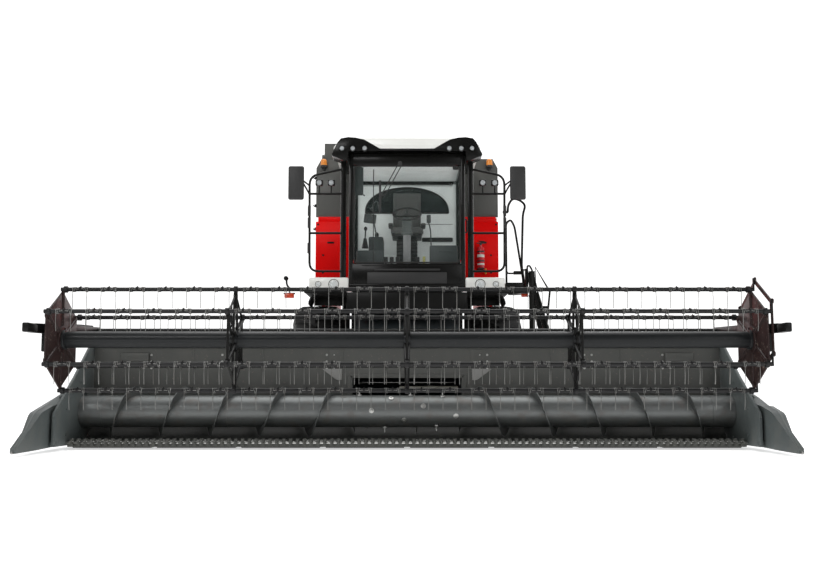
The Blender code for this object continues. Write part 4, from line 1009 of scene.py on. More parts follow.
trim = Piece("cab_wall_trim")
trim.tube([(x, wall_low.y, z) for x, z in hole], 0.011, 8)
trim.box((-PANE_X, PANE_X), (wall_low.y - 0.010, wall_low.y + 0.008),
         (pane_low.z - 0.012, pane_low.z + 0.014), 0.005)
trim.box((0.18, 0.67), (wall_low.y - 0.006, wall_low.y + 0.002), (3.060, 3.066), 0)
trim.box((-0.67, 0.67), (wall_low.y - 0.006, wall_low.y + 0.002), (3.634, 3.640), 0)
trim.box((0.22, 0.67), (wall_low.y - 0.05, wall_low.y + 0.002), (2.80, 2.86), 0.012)
trim.done(rubber, "machine")

rear_pane = Piece("rear_window_glass")
rear_pane.sheet([(x * 0.998, pane_low.z + 0.0005 + (z - pane_low.z) * 0.998) for x, z in hole], "y",
                (pane_low.y + 0.001, pane_high.y - 0.001), 0)
rear_pane.done(smoked, "machine", "rear_window", smooth=60)

# a roller blind let down beside the front post
shade = Piece("cab_side_blind")
shade.box((-0.712, -0.590), (-1.330, -1.324), (3.270, 3.66), 0.001)
shade.rod((-0.712, -1.326, 3.675), (-0.590, -1.326, 3.675), 0.018, 16)
shade.rod((-0.712, -1.327, 3.268), (-0.600, -1.327, 3.268), 0.008, 12)
shade.rod((-0.590, -1.327, 3.268), (-0.570, -1.327, 3.255), 0.010, 12)
shade.done(moulding("blind_cloth", (0.045, 0.055, 0.054), 0.9, 400), "machine")

# ---- cab: wipers ----
wipers = Piece("wiper_arms")
WIPE_Y = CAB_FRONT + 0.001
for lean in (0.0, 0.054):
    wipers.rod((-0.121 + lean, WIPE_Y - 0.006, 3.655), (-0.347 + lean, WIPE_Y + 0.006, 3.238), 0.0065, 8)
wipers.rod((-0.355, WIPE_Y + 0.004, 3.235), (-0.285, WIPE_Y + 0.004, 3.248), 0.008, 8)
wipers.box((-0.375, -0.345), (WIPE_Y - 0.006, WIPE_Y + 0.010), (3.02, 3.44), 0.005)
wipers.rod((-0.094, WIPE_Y - 0.010, 3.672), (-0.094, WIPE_Y + 0.03, 3.672), 0.030, 16)
wipers.done(plastic, "machine")

# ---- cab: driver's seat ----
# An air-sprung seat: two cloth cushions with a wide centre panel and side bolsters, on a bellows and a
# slide, with fold-down armrests.
seat_low, seat_high = reach("driver_seat")
cloth = Finish("seat_cloth")
weave = cloth.add("ShaderNodeTexWave", {"wave_type": "BANDS", "bands_direction": "DIAGONAL"},
                  {"Vector": cloth.place, "Scale": 160.0, "Distortion": 1.5, "Detail": 2.0})
tone = cloth.mix(weave * 0.5 + cloth.noise(9, 4) * 0.5, (0.085, 0.088, 0.084), (0.155, 0.158, 0.152))
cloth.wear(Base_Color=tone, Roughness=weave * 0.1 + 0.85, Normal=cloth.bump(weave, 0.3, 0.001))


# where the side seams run, as a share of half the width
SEAM = 0.62


def cushion(name, wide, deep, thick, crown, place, turn):
    """A crowned pad with bolsters at its sides and seams let into its face; it lies flat, then is turned."""
    pad = Piece(name)
    count_x, count_y = 40, 40
    for layer in (1, -1):
        rows = []
        for j in range(count_y + 1):
            row = []
            for i in range(count_x + 1):
                u, v = 2 * i / count_x - 1, 2 * j / count_y - 1
                edge = (1 - abs(u) ** 5) ** 0.4 * (1 - abs(v) ** 5) ** 0.4
                side = abs(u)
                bolster = 0.55
                if side > 0.45:                                # the roll along each side
                    bolster += 0.45 * max(0.0, math.sin((side - 0.45) / 0.55 * math.pi))
                if side < SEAM:                                # the crowned middle panel
                    bolster += 0.25 * (1 - (side / SEAM) ** 2)
                seam = 1 - 0.30 * math.exp(-((side - SEAM) / 0.030) ** 2)
                seam -= 0.22 * math.exp(-((v - 0.30) / 0.035) ** 2)
                top = thick * 0.35 + crown * bolster * seam
                height = edge * (top if layer > 0 else -thick * 0.5)
                row.append(pad.bm.verts.new((u * wide / 2 * (0.94 + 0.06 * edge), v * deep / 2, height)))
            rows.append(row)
        for j in range(count_y):
            for i in range(count_x):
                pad.bm.faces.new((rows[j][i], rows[j][i + 1], rows[j + 1][i + 1], rows[j + 1][i]))
    bmesh.ops.remove_doubles(pad.bm, verts=pad.bm.verts, dist=0.0004)
    bmesh.ops.rotate(pad.bm, verts=pad.bm.verts, matrix=Matrix.Rotation(turn, 3, "X"))
    bmesh.ops.translate(pad.bm, verts=pad.bm.verts, vec=place)
    made = pad.done(cloth.material, "machine", smooth=80)
    return made


seat_y = seat_low.y
cushion("seat_cushion", 0.48, 0.46, 0.10, 0.05, (0, seat_y + 0.24, 2.885), math.radians(4))
cushion("seat_back", 0.43, 0.60, 0.09, 0.05, (0, seat_high.y - 0.075, 3.205), math.radians(97))

seat_frame = Piece("seat_frame")
seat_frame.box((-0.21, 0.21), (seat_y + 0.03, seat_y + 0.46), (2.80, 2.845), 0.012)
seat_frame.box((-0.20, 0.20), (seat_high.y - 0.045, seat_high.y - 0.004), (2.90, 3.40), 0.016)
seat_frame.box((-0.17, 0.17), (seat_y + 0.08, seat_y + 0.42), (FLOOR + 0.001, 2.30), 0.012)
for k in range(9):
    z = 2.32 + 0.053 * k
    seat_frame.box((-0.150, 0.150), (seat_y + 0.10, seat_y + 0.40), (z, z + 0.034), 0.015)
    seat_frame.box((-0.138, 0.138), (seat_y + 0.112, seat_y + 0.388), (z + 0.03, z + 0.055), 0.004)
for sign in (1, -1):
    seat_frame.rod((sign * 0.215, seat_high.y - 0.04, 2.97), (sign * 0.235, seat_high.y - 0.04, 2.97),
                   0.035, 16)
seat_frame.done(plastic, "machine", "driver_seat")
for side, sign in SIDES:
    cushion(f"armrest_{side}", 0.07, 0.30, 0.05, 0.016, (sign * 0.235, seat_high.y - 0.20, 3.00), 0)

harness = Piece("seat_harness")
for k in (0, 1):
    harness.box((0.195, 0.235), (seat_y + 0.20, seat_y + 0.24), (2.87 + 0.02 * k, 2.885 + 0.02 * k), 0.004)
harness.rod((0.0, seat_high.y - 0.03, 3.48), (0.0, seat_high.y - 0.03, 3.50), 0.02, 12)
harness.done(rubber, "machine")

# ---- cab: steering wheel and column ----
WHEEL = Vector((0, -1.15, 3.04))
tilt = Matrix.Rotation(math.radians(35), 3, "X")
steer = Piece("steering_wheel")


def on_wheel(angle, radius, rise=0.0):
    return WHEEL + tilt @ Vector((radius * math.cos(angle), radius * math.sin(angle), rise))


steer.tube([on_wheel(2 * math.pi * k / 48, 0.188) for k in range(48)], 0.014, 12, closed=True)
for a in (math.pi / 2, math.radians(200), math.radians(340)):
    steer.tube([on_wheel(a, 0.185), on_wheel(a, 0.10, -0.022), on_wheel(a, 0.02, -0.028)], 0.011, 8)
steer.rod(on_wheel(0, 0, -0.045), on_wheel(0, 0, -0.012), 0.042, 24, round_off=0.006)
steer.rod(on_wheel(math.radians(215), 0.188, 0.01), on_wheel(math.radians(215), 0.188, 0.055), 0.018, 16,
          round_off=0.006)
steer.done(plastic, "machine", "steering_column")

shroud = Piece("column_shroud")
shroud.box((-0.066, 0.066), (-1.205, -1.095), (2.76, 2.985), 0.020)
shroud.box((-0.075, 0.075), (-1.215, -1.085), (2.745, 2.775), 0.010)
shroud.done(moulding("dash_moulding", (0.10, 0.115, 0.11), 0.6), "machine")

post = Piece("column_post")
post.box((-0.052, 0.052), (-1.19, -1.11), (FLOOR + 0.001, 2.755), 0.010)
post.done(enamel("grey_column", (0.24, 0.25, 0.25), 0.4, dust=0.05, coat=0.1), "machine")

pedals = Piece("cab_pedals")
for x in (-0.285, -0.205, -0.125, 0.14):
    pedals.box(centred(x, 0.028), (-1.335, -1.315), (2.33, 2.43), 0.006, turn=Matrix.Rotation(-0.5, 3, "X"))
    pedals.rod((x, -1.31, 2.37), (x, -1.22, FLOOR + 0.01), 0.008, 10)
    for k in range(4):
        pedals.box(centred(x, 0.024), (-1.340, -1.334), (2.345 + 0.022 * k, 2.352 + 0.022 * k), 0.001,
                   turn=Matrix.Rotation(-0.5, 3, "X"), about=Vector((x, -1.325, 2.38)))
pedals.box((-0.30, -0.10), (-1.25, -1.20), (FLOOR, FLOOR + 0.03), 0.006)
pedals.done(rubber, "machine")

# ---- cab: consoles, levers and boxes ----
console_low, console_high = reach("cab_console")
consoles = Piece("side_consoles")
consoles.box((console_low.x + 0.002, console_high.x - 0.002), (console_low.y + 0.002, console_high.y - 0.002),
             (FLOOR, 2.78), 0.020)
consoles.box((-0.690, -0.320), (-1.10, -0.98), (FLOOR, 2.545), 0.016)
consoles.box((0.310, 0.690), (-1.10, -0.98), (FLOOR, 2.615), 0.016)
consoles.box((0.44, 0.62), (-1.104, -1.096), (2.52, 2.545), 0.004)
consoles.done(moulding("dash_moulding_side", (0.060, 0.072, 0.072), 0.55), "machine", "cab_console")

screen_box = Piece("yield_monitor")
screen_box.box((-0.60, -0.43), (-0.90, -0.86), (2.955, 3.085), 0.012, turn=Matrix.Rotation(0.12, 3, "Y"))
screen_box.tube(bent([(-0.46, -0.85, 2.98), (-0.44, -0.84, 2.85), (-0.42, -0.84, 2.77)], 0.03), 0.010, 10)
screen_box.tube(bent([(-0.48, -0.86, 3.12), (-0.49, -0.84, 3.22), (-0.42, -0.80, 3.30), (-0.38, -0.80, 3.10)],
                     0.05), 0.007, 8)
screen_box.ball((-0.49, -0.86, 3.16), 0.026)
screen_box.box((0.275, 0.335), (-0.80, -0.74), (2.98, 3.09), 0.010)
screen_box.tube(bent([(0.30, -0.77, 3.0), (0.33, -0.77, 2.88), (0.34, -0.77, 2.62)], 0.05), 0.009, 8)
screen_box.done(moulding("monitor_moulding", (0.075, 0.085, 0.083), 0.5), "machine")

levers = Piece("cab_levers")
levers.rod((-0.582, -0.90, 2.60), (-0.582, -0.90, 2.74), 0.048, 20, tip=0.020, round_off=0.004)
levers.rod((-0.582, -0.90, 2.73), (-0.575, -0.90, 2.86), 0.010, 12)
levers.ball((-0.575, -0.90, 2.875), 0.024, (1, 1, 1.3))
levers.rod((-0.457, -1.20, FLOOR + 0.02), (-0.457, -1.20, 3.66), 0.0065, 10)
levers.ball((console_low.x + 0.11, console_low.y + 0.20, 2.83), 0.030, (1, 1, 1.4))
levers.rod((console_low.x + 0.11, console_low.y + 0.20, 2.76),
           (console_low.x + 0.11, console_low.y + 0.20, 2.82), 0.012, 12)
levers.box((0.62, 0.71), (-1.34, -1.28), (3.62, 3.69), 0.012)
levers.done(plastic, "machine")

flask = Piece("marker_flask")
flask.rod((0.232, -1.12, FLOOR + 0.045), (0.232, -1.12, 2.455), 0.020, 18, round_off=0.004)
flask.done(enamel("yellow_enamel", (0.58, 0.58, 0.20), 0.4, dust=0.0, coat=0.0), "machine")

visor = Piece("sill_cover")                                      # the black cowl below the screen
visor.box((-0.53, 0.53), (CAB_FRONT - 0.003, CAB_FRONT + 0.02), (2.045, 2.205), 0.016)
visor.box((-0.44, 0.44), (CAB_FRONT - 0.004, CAB_FRONT + 0.02), (2.225, 2.250), 0.006)
visor.done(plastic, "machine")

# ---- outside the cab: beacons, extinguisher and marker lamps ----
def lit(name, colour, glow):
    """Coloured lamp plastic with light held in it."""
    made = Finish(name)
    ribs = made.add("ShaderNodeTexWave", {"bands_direction": "Z"}, {"Vector": made.place, "Scale": 60.0})
    made.wear(Base_Color=made.mix(ribs, tuple(c * 0.7 for c in colour), colour), Roughness=ribs * 0.1 + 0.15,
              Normal=made.bump(ribs, 0.2, 0.0008), Emission_Strength=glow)
    made.shader.inputs["Emission Color"].default_value = (*colour, 1)
    return made.material


amber = lit("amber_plastic", (0.78, 0.26, 0.035), 0.15)
marker_red = lit("marker_plastic", (0.75, 0.07, 0.02), 0.10)
beacon = Piece("beacon_domes")
beacon_base = Piece("beacon_bases")
for x in (-1.240, 1.228):
    beacon.rod((x, -0.04, 3.965), (x, -0.04, 4.030), 0.048, 24, tip=0.044)
    beacon.ball((x, -0.04, 4.029), 0.0445, (1, 1, 0.9))
    beacon_base.rod((x, -0.04, 3.930), (x, -0.04, 3.967), 0.054, 24, round_off=0.006)
    beacon_base.box(centred(x, 0.025), (-0.05, 0.03), (3.90, 3.935), 0.006)
beacon.done(amber, "machine", smooth=50)
beacon_base.done(plastic, "machine")

BOTTLE_X, BOTTLE_Y, BOTTLE_Z = 1.081, -0.150, 2.415


def up_bottle(rise):
    """A point on the extinguisher's own axis."""
    return BOTTLE_X, BOTTLE_Y, BOTTLE_Z + rise


bottle = Piece("extinguisher_bottle")
bottle.rod(up_bottle(0), up_bottle(0.30), 0.052, 28, round_off=0.012)
bottle.rod(up_bottle(0.292), up_bottle(0.335), 0.042, 28, tip=0.018)
bottle.done(enamel("red_bottle", (0.62, 0.010, 0.020), 0.22, dust=0.0, coat=0.2), "machine")

label = Piece("extinguisher_label")
for low, high in ((0.155, 0.195), (0.04, 0.065)):
    label.rod(up_bottle(low), up_bottle(high), 0.0528, 28)
label.done(enamel("white_label", (0.70, 0.72, 0.66), 0.4, dust=0.0, coat=0.0), "machine")

valve = Piece("extinguisher_valve")
valve.rod(up_bottle(0.33), up_bottle(0.365), 0.018, 16)
valve.box((BOTTLE_X - 0.060, BOTTLE_X + 0.070), centred(BOTTLE_Y, 0.010),
          (BOTTLE_Z + 0.360, BOTTLE_Z + 0.376), 0.004)
valve.box((BOTTLE_X - 0.030, BOTTLE_X + 0.060), centred(BOTTLE_Y, 0.008),
          (BOTTLE_Z + 0.390, BOTTLE_Z + 0.402), 0.004)
for rise in (0.10, 0.24):
    valve.rod(up_bottle(rise - 0.010), up_bottle(rise + 0.010), 0.055, 28)
valve.box(centred(BOTTLE_X, 0.04), (BOTTLE_Y + 0.045, -0.028), (BOTTLE_Z - 0.02, BOTTLE_Z + 0.32), 0.006)
valve.box(centred(BOTTLE_X, 0.05), (BOTTLE_Y - 0.05, -0.028), (BOTTLE_Z - 0.014, BOTTLE_Z - 0.001), 0.003)
valve.done(plastic, "machine")

tap = Piece("oil_tap")
tap.rod((1.155, -0.035, 2.385), (1.155, -0.10, 2.385), 0.016, 14)
tap.rod((1.155, -0.095, 2.335), (1.155, -0.095, 2.415), 0.012, 12)
tap.done(enamel("yellow_tap", (0.62, 0.36, 0.02), 0.4, dust=0.0, coat=0.1), "machine")

markers, marker_arms = Piece("marker_lamps"), Piece("marker_arms")
markers.box((-1.640, -1.512), (-1.325, -1.285), (1.872, 1.934), 0.010)
markers.box((1.530, 1.618), (-1.325, -1.285), (1.886, 1.936), 0.010)
marker_arms.tube(bent([(-1.29, RAIL_Y + 0.02, 1.982), (-1.55, RAIL_Y + 0.02, 1.982),
                       (-1.59, RAIL_Y + 0.02, 2.03), (-1.595, RAIL_Y + 0.02, 2.12)], 0.05), 0.013, 10)
marker_arms.rod((-1.600, RAIL_Y - 0.01, 2.118), (-1.600, RAIL_Y + 0.045, 2.118), 0.030, 18, round_off=0.006)
marker_arms.box((-1.655, -1.500), (-1.290, -1.270), (1.925, 1.945), 0.004)
marker_arms.tube([(-1.57, -1.280, 1.94), (-1.57, -1.40, 1.975), (-1.55, RAIL_Y + 0.02, 1.982)], 0.009, 8)
marker_arms.box((1.310, 1.545), (-1.42, -1.30), (1.985, 2.070), 0.012)
marker_arms.box((1.500, 1.600), (-1.36, -1.26), (1.93, 2.02), 0.008)
marker_arms.done(black, "machine")
markers.done(marker_red, "machine")

# ---- body: red bulkhead, grain tank and lids ----
# Folded red panels close the front of the body beside the cab; the grey tank stands on them with its
# front corners cut off, and two lids close its top.
bulk_low, bulk_high = reach("front_bulkhead")
tank_low, tank_high = reach("grain_tank")
panels = Piece("bulkhead_panels")
step_z = bulk_high.z - 0.075
panels.box((bulk_low.x + 0.002, bulk_high.x - 0.002), (bulk_low.y + 0.002, bulk_high.y - 0.001),
           (bulk_low.z, step_z), 0.010)
panels.box((bulk_low.x + 0.035, bulk_high.x - 0.035), (bulk_low.y + 0.022, bulk_high.y - 0.001),
           (step_z - 0.01, bulk_high.z - 0.001), 0.004)
for sign in (1, -1):
    panels.sheet([(sign * 0.80, 2.12), (sign * 0.96, 2.12), (sign * 1.04, 2.70), (sign * 0.98, 3.09),
                  (sign * 0.80, 3.09)],
                 "y", (bulk_low.y - 0.010, bulk_low.y + 0.004), 0.006)
panels.done(red, "machine", "front_bulkhead")

panel_bolts = Piece("bulkhead_bolts")
panel_bolts.bolts([(sign * x, bulk_low.y + 0.002, z) for sign in (1, -1) for x, z in
                   ((1.32, 2.12), (1.32, 3.08), (1.24, 2.62), (1.24, 2.36), (0.90, 2.66))], (0, -1, 0),
                  0.010, 0.006)
for sign in (1, -1):
    panel_bolts.box(centred(sign * 1.13, 0.05), (bulk_low.y - 0.012, bulk_low.y + 0.004),
                    (2.795, 2.82), 0.006)
panel_bolts.done(black, "machine")

dress("grain_tank", grey)
tank_trim = Piece("tank_panels")
for sign in (1, -1):
    tank_trim.box(one_side(sign, 0.80, 1.335), (tank_low.y - 0.006, tank_low.y + 0.004), (3.225, 3.89), 0.006)
    tank_trim.sheet([(sign * 0.80, 3.885), (sign * 1.335, 3.885), (sign * 1.335, 3.935), (sign * 1.27, 4.06),
                     (sign * 0.80, 4.06)],
                    "y", (tank_low.y - 0.006, tank_low.y + 0.004), 0.004)
for k in range(9):                                             # outside stiffening ribs of the tank's sides
    y = 0.30 + 0.27 * k
    for sign in (1, -1):
        if not (sign < 0 and y < 0.65):
            tank_trim.box(one_side(sign, tank_high.x - 0.355, tank_high.x - 0.335), (y, y + 0.04),
                          (3.22, 4.05), 0.006)
tank_trim.done(grey, "machine")

latches = Piece("tank_latches")
for z in (3.80, 3.38, 3.03):
    latches.box((-1.378, -1.350), (0.01, 0.05), (z - 0.030, z + 0.012), 0.004)
    latches.rod((-1.372, 0.02, z - 0.024), (-1.398, 0.02, z - 0.004), 0.008, 10)
latches.done(black, "machine")
for side, sign in SIDES:
    lid_low, lid_high = reach(f"tank_lid_{side}")
    dress(f"tank_lid_{side}", grey)
    hinges = Piece(f"tank_lid_fittings_{side}")
    edge = lid_high.x if sign > 0 else lid_low.x
    for k in range(4):
        y = lid_low.y + 0.14 + (lid_high.y - lid_low.y - 0.40) * k / 3
        pin_x, pin_z = edge - sign * 0.012, lid_high.z - 0.006
        hinges.rod((pin_x, y, pin_z), (pin_x, y + 0.12, pin_z), 0.012, 12)
        hinges.box(sorted((edge - sign * 0.10, edge - sign * 0.015)), (y + 0.01, y + 0.11),
                   (lid_high.z - 0.002, lid_high.z + 0.004), 0.002)
        hinges.box(sorted((sign * 0.08, edge - sign * 0.16)), (y + 0.04, y + 0.07),
                   (lid_high.z - 0.002, lid_high.z + 0.010), 0.006)
    hinges.done(grey, f"{side}_tank_lid")

# ---- body: side doors ----
# Gull-wing doors with a pressed border, louvres over the cleaning fan and a flush latch.
for side, sign in SIDES:
    door_lo, door_hi = reach(f"side_door_{side}")
    dress(f"side_door_{side}", red)
    outer = door_hi.x if sign > 0 else door_lo.x
    skin = Piece(f"side_door_pressings_{side}")
    for z in (1.62, 2.30, 2.92):
        skin.box(sorted((outer - sign * 0.004, outer + sign * 0.010)), (door_lo.y + 0.25, door_hi.y - 0.45),
                 (z, z + 0.07), 0.010)
    skin.box(sorted((outer - sign * 0.004, outer + sign * 0.008)), (2.05, 2.10), (1.70, 2.92), 0.006)
    skin.done(red, f"{side}_side_door")
    vents = Piece(f"side_door_louvres_{side}")
    for k in range(9):
        z = 1.74 + 0.052 * k
        vents.box(sorted((outer - sign * 0.006, outer + sign * 0.014)), (1.10, 1.80), (z, z + 0.024), 0.008,
                  turn=Matrix.Rotation(sign * 0.5, 3, "Y"))
    vents.box(sorted((outer - sign * 0.004, outer + sign * 0.012)), (door_hi.y - 1.02, door_hi.y - 0.90),
              (1.66, 1.72), 0.010)
    for k in range(3):
        y = 0.9 + 1.3 * k
        if y < door_hi.y - 0.3:
            vents.rod((outer - sign * 0.02, y, door_hi.z - 0.012),
                      (outer - sign * 0.02, y + 0.14, door_hi.z - 0.012), 0.011, 12)
    vents.done(black, f"{side}_side_door")
    # The reflector pads take the amber lamp plastic, so they glow as painted light although they are no
    # lamps.
    pads = Piece(f"side_door_reflectors_{side}")
    pads.box(sorted((outer - sign * 0.002, outer + sign * 0.006)), (door_hi.y - 0.62, door_hi.y - 0.52),
             (1.80, 1.90), 0.004)
    pads.done(amber, f"{side}_side_door")

# ---- body: chassis, engine and hood ----
dress("threshing_body", black)
iron = Finish("cast_iron")
crust = iron.noise(60, 6)
iron.wear(Base_Color=iron.mix(crust, (0.045, 0.045, 0.045), (0.095, 0.092, 0.088)),
          Roughness=crust * 0.2 + 0.55, Metallic=0.5, Normal=iron.bump(crust, 0.4, 0.002))
dress("engine_block", iron.material)
hood_low, hood_high = reach("engine_hood")
dress("engine_hood", red)
grille = Piece("engine_grille")
for k in range(16):
    z = 2.86 + 0.042 * k
    grille.box((-0.72, 0.72), (hood_high.y - 0.010, hood_high.y + 0.016), (z, z + 0.018), 0.004,
               turn=Matrix.Rotation(0.5, 3, "X"))
for x, z in (((-0.78, -0.72), (2.83, 3.56)), ((0.72, 0.78), (2.83, 3.56)), ((-0.78, 0.78), (3.53, 3.58)),
             ((-0.78, 0.78), (2.81, 2.85))):
    grille.box(x, (hood_high.y - 0.006, hood_high.y + 0.014), z, 0.006)


def on_screen(turn, share, x):
    """A point of the radiator's oval dust screen, by its share of the way out from the middle."""
    a = 2 * math.pi * turn
    return x, 3.60 + 0.25 * share * math.cos(a), 3.42 + 0.20 * share * math.sin(a)


for k in range(12):
    grille.rod(on_screen(0, 0, hood_low.x - 0.010), on_screen(k / 12, 1, hood_low.x - 0.010), 0.006, 6)
grille.tube([on_screen(k / 32, 1, hood_low.x - 0.008) for k in range(32)], 0.014, 10, closed=True)
grille.done(black, "machine")

pipe = Piece("exhaust_stack")
pipe.tube(bent([(0.62, 3.30, hood_high.z - 0.02), (0.62, 3.30, 4.05), (0.62, 3.46, 4.20)], 0.12, 8),
          0.058, 20)
pipe.rod((0.62, 3.30, hood_high.z - 0.01), (0.62, 3.30, hood_high.z + 0.03), 0.085, 28, round_off=0.006)
pipe.done(metal("stack_steel", (0.36, 0.33, 0.30), 0.42, (5, 5, 0.4), rust=0.4), "machine")

snorkel = Piece("air_intake")
snorkel.rod((-0.50, 3.15, hood_high.z - 0.01), (-0.50, 3.15, 3.92), 0.11, 32, round_off=0.012)
snorkel.rod((-0.50, 3.15, 3.90), (-0.50, 3.15, 4.02), 0.155, 32, tip=0.13, round_off=0.015)
snorkel.done(plastic, "machine")

# ---- body: straw hood and chopper ----
dress("straw_hood", red)
straw_low, straw_high = reach("straw_hood")
chop = Piece("straw_chopper")
chop.box((-0.80, 0.80), (straw_high.y - 0.55, straw_high.y - 0.20), (1.02, 1.16), 0.014)
for k in range(9):
    x = -0.72 + 0.18 * k
    chop.box(centred(x, 0.004), (straw_high.y - 0.50, straw_high.y - 0.02), (0.94, 1.05), 0.002,
             turn=Matrix.Rotation(0.45 * x, 3, "Z"))
chop.done(black, "machine")

tail = Piece("tail_lamps")
tail_pots = Piece("tail_lamp_housings")
for sign in (1, -1):
    tail.box(one_side(sign, 0.60, 0.78), (straw_high.y - 0.085, straw_high.y - 0.048), (2.12, 2.20), 0.010)
    tail_pots.box(one_side(sign, 0.58, 0.80), (straw_high.y - 0.14, straw_high.y - 0.068),
                  (2.10, 2.22), 0.012)
tail.done(marker_red, "machine")
tail_pots.done(plastic, "machine")

seams = Piece("straw_hood_ribs")
for x in (-0.55, 0.0, 0.55):
    seams.box(centred(x, 0.03), (straw_low.y + 0.05, straw_high.y - 0.42),
              (straw_high.z - 0.11, straw_high.z - 0.02), 0.008)
seams.done(red, "machine")

# ---- grain elevator and unloading auger ----
lift_low, lift_high = reach("grain_elevator")
dress("grain_elevator", grey)
cover = Piece("elevator_head_cover")
cover.box((lift_low.x - 0.003, lift_high.x + 0.003), (lift_low.y - 0.003, lift_high.y + 0.003),
          (3.30, 3.34), 0.006)
cover.bolts([(lift_low.x - 0.001, lift_low.y + 0.05 + 0.13 * k, z) for k in range(3)
             for z in (2.3, 2.9, 3.5, 4.1)], (-1, 0, 0), 0.010)
chain_y = (lift_low.y + lift_high.y) / 2
cover.rod((lift_low.x - 0.05, chain_y, 4.16), (lift_low.x + 0.01, chain_y, 4.16), 0.07, 24, round_off=0.006)
cover.done(grey, "machine")

spout_low, spout_high = reach("unloading_auger")
SPOUT_X, SPOUT_Z, SPOUT_R = 1.20, 3.55, 0.155
spout = Piece("unloading_tube")
spout.tube(bent([(SPOUT_X, 0.45, spout_low.z + 0.16), (SPOUT_X, 0.45, SPOUT_Z),
                 (SPOUT_X, spout_high.y - 0.26, SPOUT_Z)],
                0.17, 10), SPOUT_R, 36)
spout.rod((SPOUT_X, 0.45, spout_low.z + 0.001), (SPOUT_X, 0.45, spout_low.z + 0.20), 0.088, 28)
for y in (0.78, 2.3, 3.9):
    spout.rod((SPOUT_X, y, SPOUT_Z), (SPOUT_X, y + 0.03, SPOUT_Z), SPOUT_R + 0.004, 36, round_off=0.003)
spout.done(red, "unloading_spout", "unloading_auger", smooth=40)

boot = Piece("unloading_spout_boot")
boot.tube(bent([(SPOUT_X, spout_high.y - 0.30, SPOUT_Z), (SPOUT_X, spout_high.y - 0.14, SPOUT_Z),
                (SPOUT_X, spout_high.y - 0.13, SPOUT_Z - 0.14)], 0.10, 8), 0.125, 28)
boot.done(rubber, "unloading_spout", smooth=50)

# ---- platform, fenders and ladder ----
# Chequer plate stands on folded beams over the front wheels, with a steel kick edge; black fenders curve
# down outside the cab's nose.
deck_low, deck_high = reach("platform")
deck = Piece("platform_deck")
for sign in (1, -1):
    fold = [math.radians(a) for a in range(15, 91, 15)]
    over = [(0.806, 1.925), (1.17, 1.925)] + [(1.17 + 0.14 * math.sin(a), 1.785 + 0.14 * math.cos(a))
                                              for a in fold]
    under = [(x - 0.012, z - 0.022) for x, z in over[::-1]]
    deck.sheet([(sign * x, z) for x, z in over + under], "y", (deck_low.y + 0.03, -0.93), 0)
    deck.sheet([(sign * 0.806, 1.948), (sign * 1.375, 1.948), (sign * 1.375, 1.958), (sign * 0.806, 1.958)],
               "y", (deck_low.y + 0.002, deck_high.y - 0.002), 0)
    deck.box(one_side(sign, 0.80, 1.27), (-1.02, -1.00), (1.79, 1.93), 0.006)
    deck.box(one_side(sign, 0.815, 0.925), (-0.42, -0.40), (1.05, 1.93), 0.004)
    for y in (deck_low.y + 0.004, deck_high.y - 0.05):
        deck.box(one_side(sign, 0.81, 1.36), (y, y + 0.04), (1.925, 1.950), 0.004)
deck.box((1.37, 1.615), (-1.44, -1.12), (1.925, 1.958), 0.008)
deck.box((-0.80, 0.80), (deck_low.y + 0.02, deck_low.y + 0.10), (1.70, 1.94), 0.010)
deck.done(black, "machine", "platform")

checks = Piece("deck_chequer")
CHECK_STEP = 0.055
for row in range(int((deck_high.y - deck_low.y - 0.08) / CHECK_STEP)):
    y = deck_low.y + 0.05 + CHECK_STEP * row
    for sign in (1, -1):
        for n in range(9):
            x = sign * (0.83 + 0.058 * n + 0.029 * (row % 2))
            if abs(x) < 1.35:
                checks.box(centred(x, 0.014), centred(y, 0.003), (deck_high.z - 0.001, deck_high.z + 0.0025),
                           0.001, turn=Matrix.Rotation(0.78 if (row + n) % 2 else -0.78, 3, "Z"))
checks.done(zinc, "machine")

step_low, step_high = reach("ladder")
dress("ladder", black)
rails = Piece("ladder_rails")
lean = Vector((0.126, 0, -0.505)).normalized()
for y in (step_low.y + 0.015, step_high.y - 0.015):
    start = Vector((1.598, y, 2.240))
    turn = Vector((1.66, y, 2.24))
    rails.tube(bent([start, (1.60, y, 2.29), (1.63, y, 2.292), turn, turn + lean * 0.85], 0.035), 0.012, 10)
    rails.tube([start, (1.640, y, 1.95)], 0.012, 10)
for k in range(5):
    spot = Vector((1.72, 0, 1.72)) + lean * (0.31 * k)
    if spot.z > step_low.z + 0.05:
        for n in range(6):
            x = spot.x - 0.08 + 0.028 * n
            rails.box(centred(x, 0.003), (step_low.y + 0.04, step_high.y - 0.04),
                      (spot.z - 0.001, spot.z + 0.005), 0)
rails.done(black, "boarding_ladder")

hoops = Piece("platform_hoops")                                 # hand loops where the driver steps across
HOOP_Y = -1.20
inner_hoop = [(1.345, 2.02), (1.345, 2.90), (1.408, 2.955), (1.46, 2.86), (1.565, 2.16), (1.575, 2.00)]
hoop_bar = [(1.345, 2.25), (1.36, 2.215), (1.54, 2.215)]
outer_hoop = [(1.368, 3.05), (1.372, 3.14), (1.43, 3.235), (1.52, 3.222), (1.612, 3.15), (1.572, 3.02),
              (1.548, 2.30), (1.572, 2.16), (1.585, 1.99)]
for route, y, fold, radius, sides in ((inner_hoop, HOOP_Y, 0.06, 0.0145, 12),
                                      (hoop_bar, HOOP_Y, 0.03, 0.012, 10),
                                      (outer_hoop, HOOP_Y - 0.03, 0.06, 0.0155, 12)):
    hoops.tube(bent([(x, y, z) for x, z in route], fold), radius, sides)
hoops.rod((1.30, HOOP_Y - 0.02, 3.05), (1.375, HOOP_Y - 0.03, 3.05), 0.018, 12)
hoops.box((1.44, 1.56), (HOOP_Y - 0.04, HOOP_Y + 0.03), (2.20, 2.245), 0.008)
hoops.box((1.575, 1.615), (-1.40, -1.34), (1.965, 2.26), 0.010)
hoops.done(black, "machine")

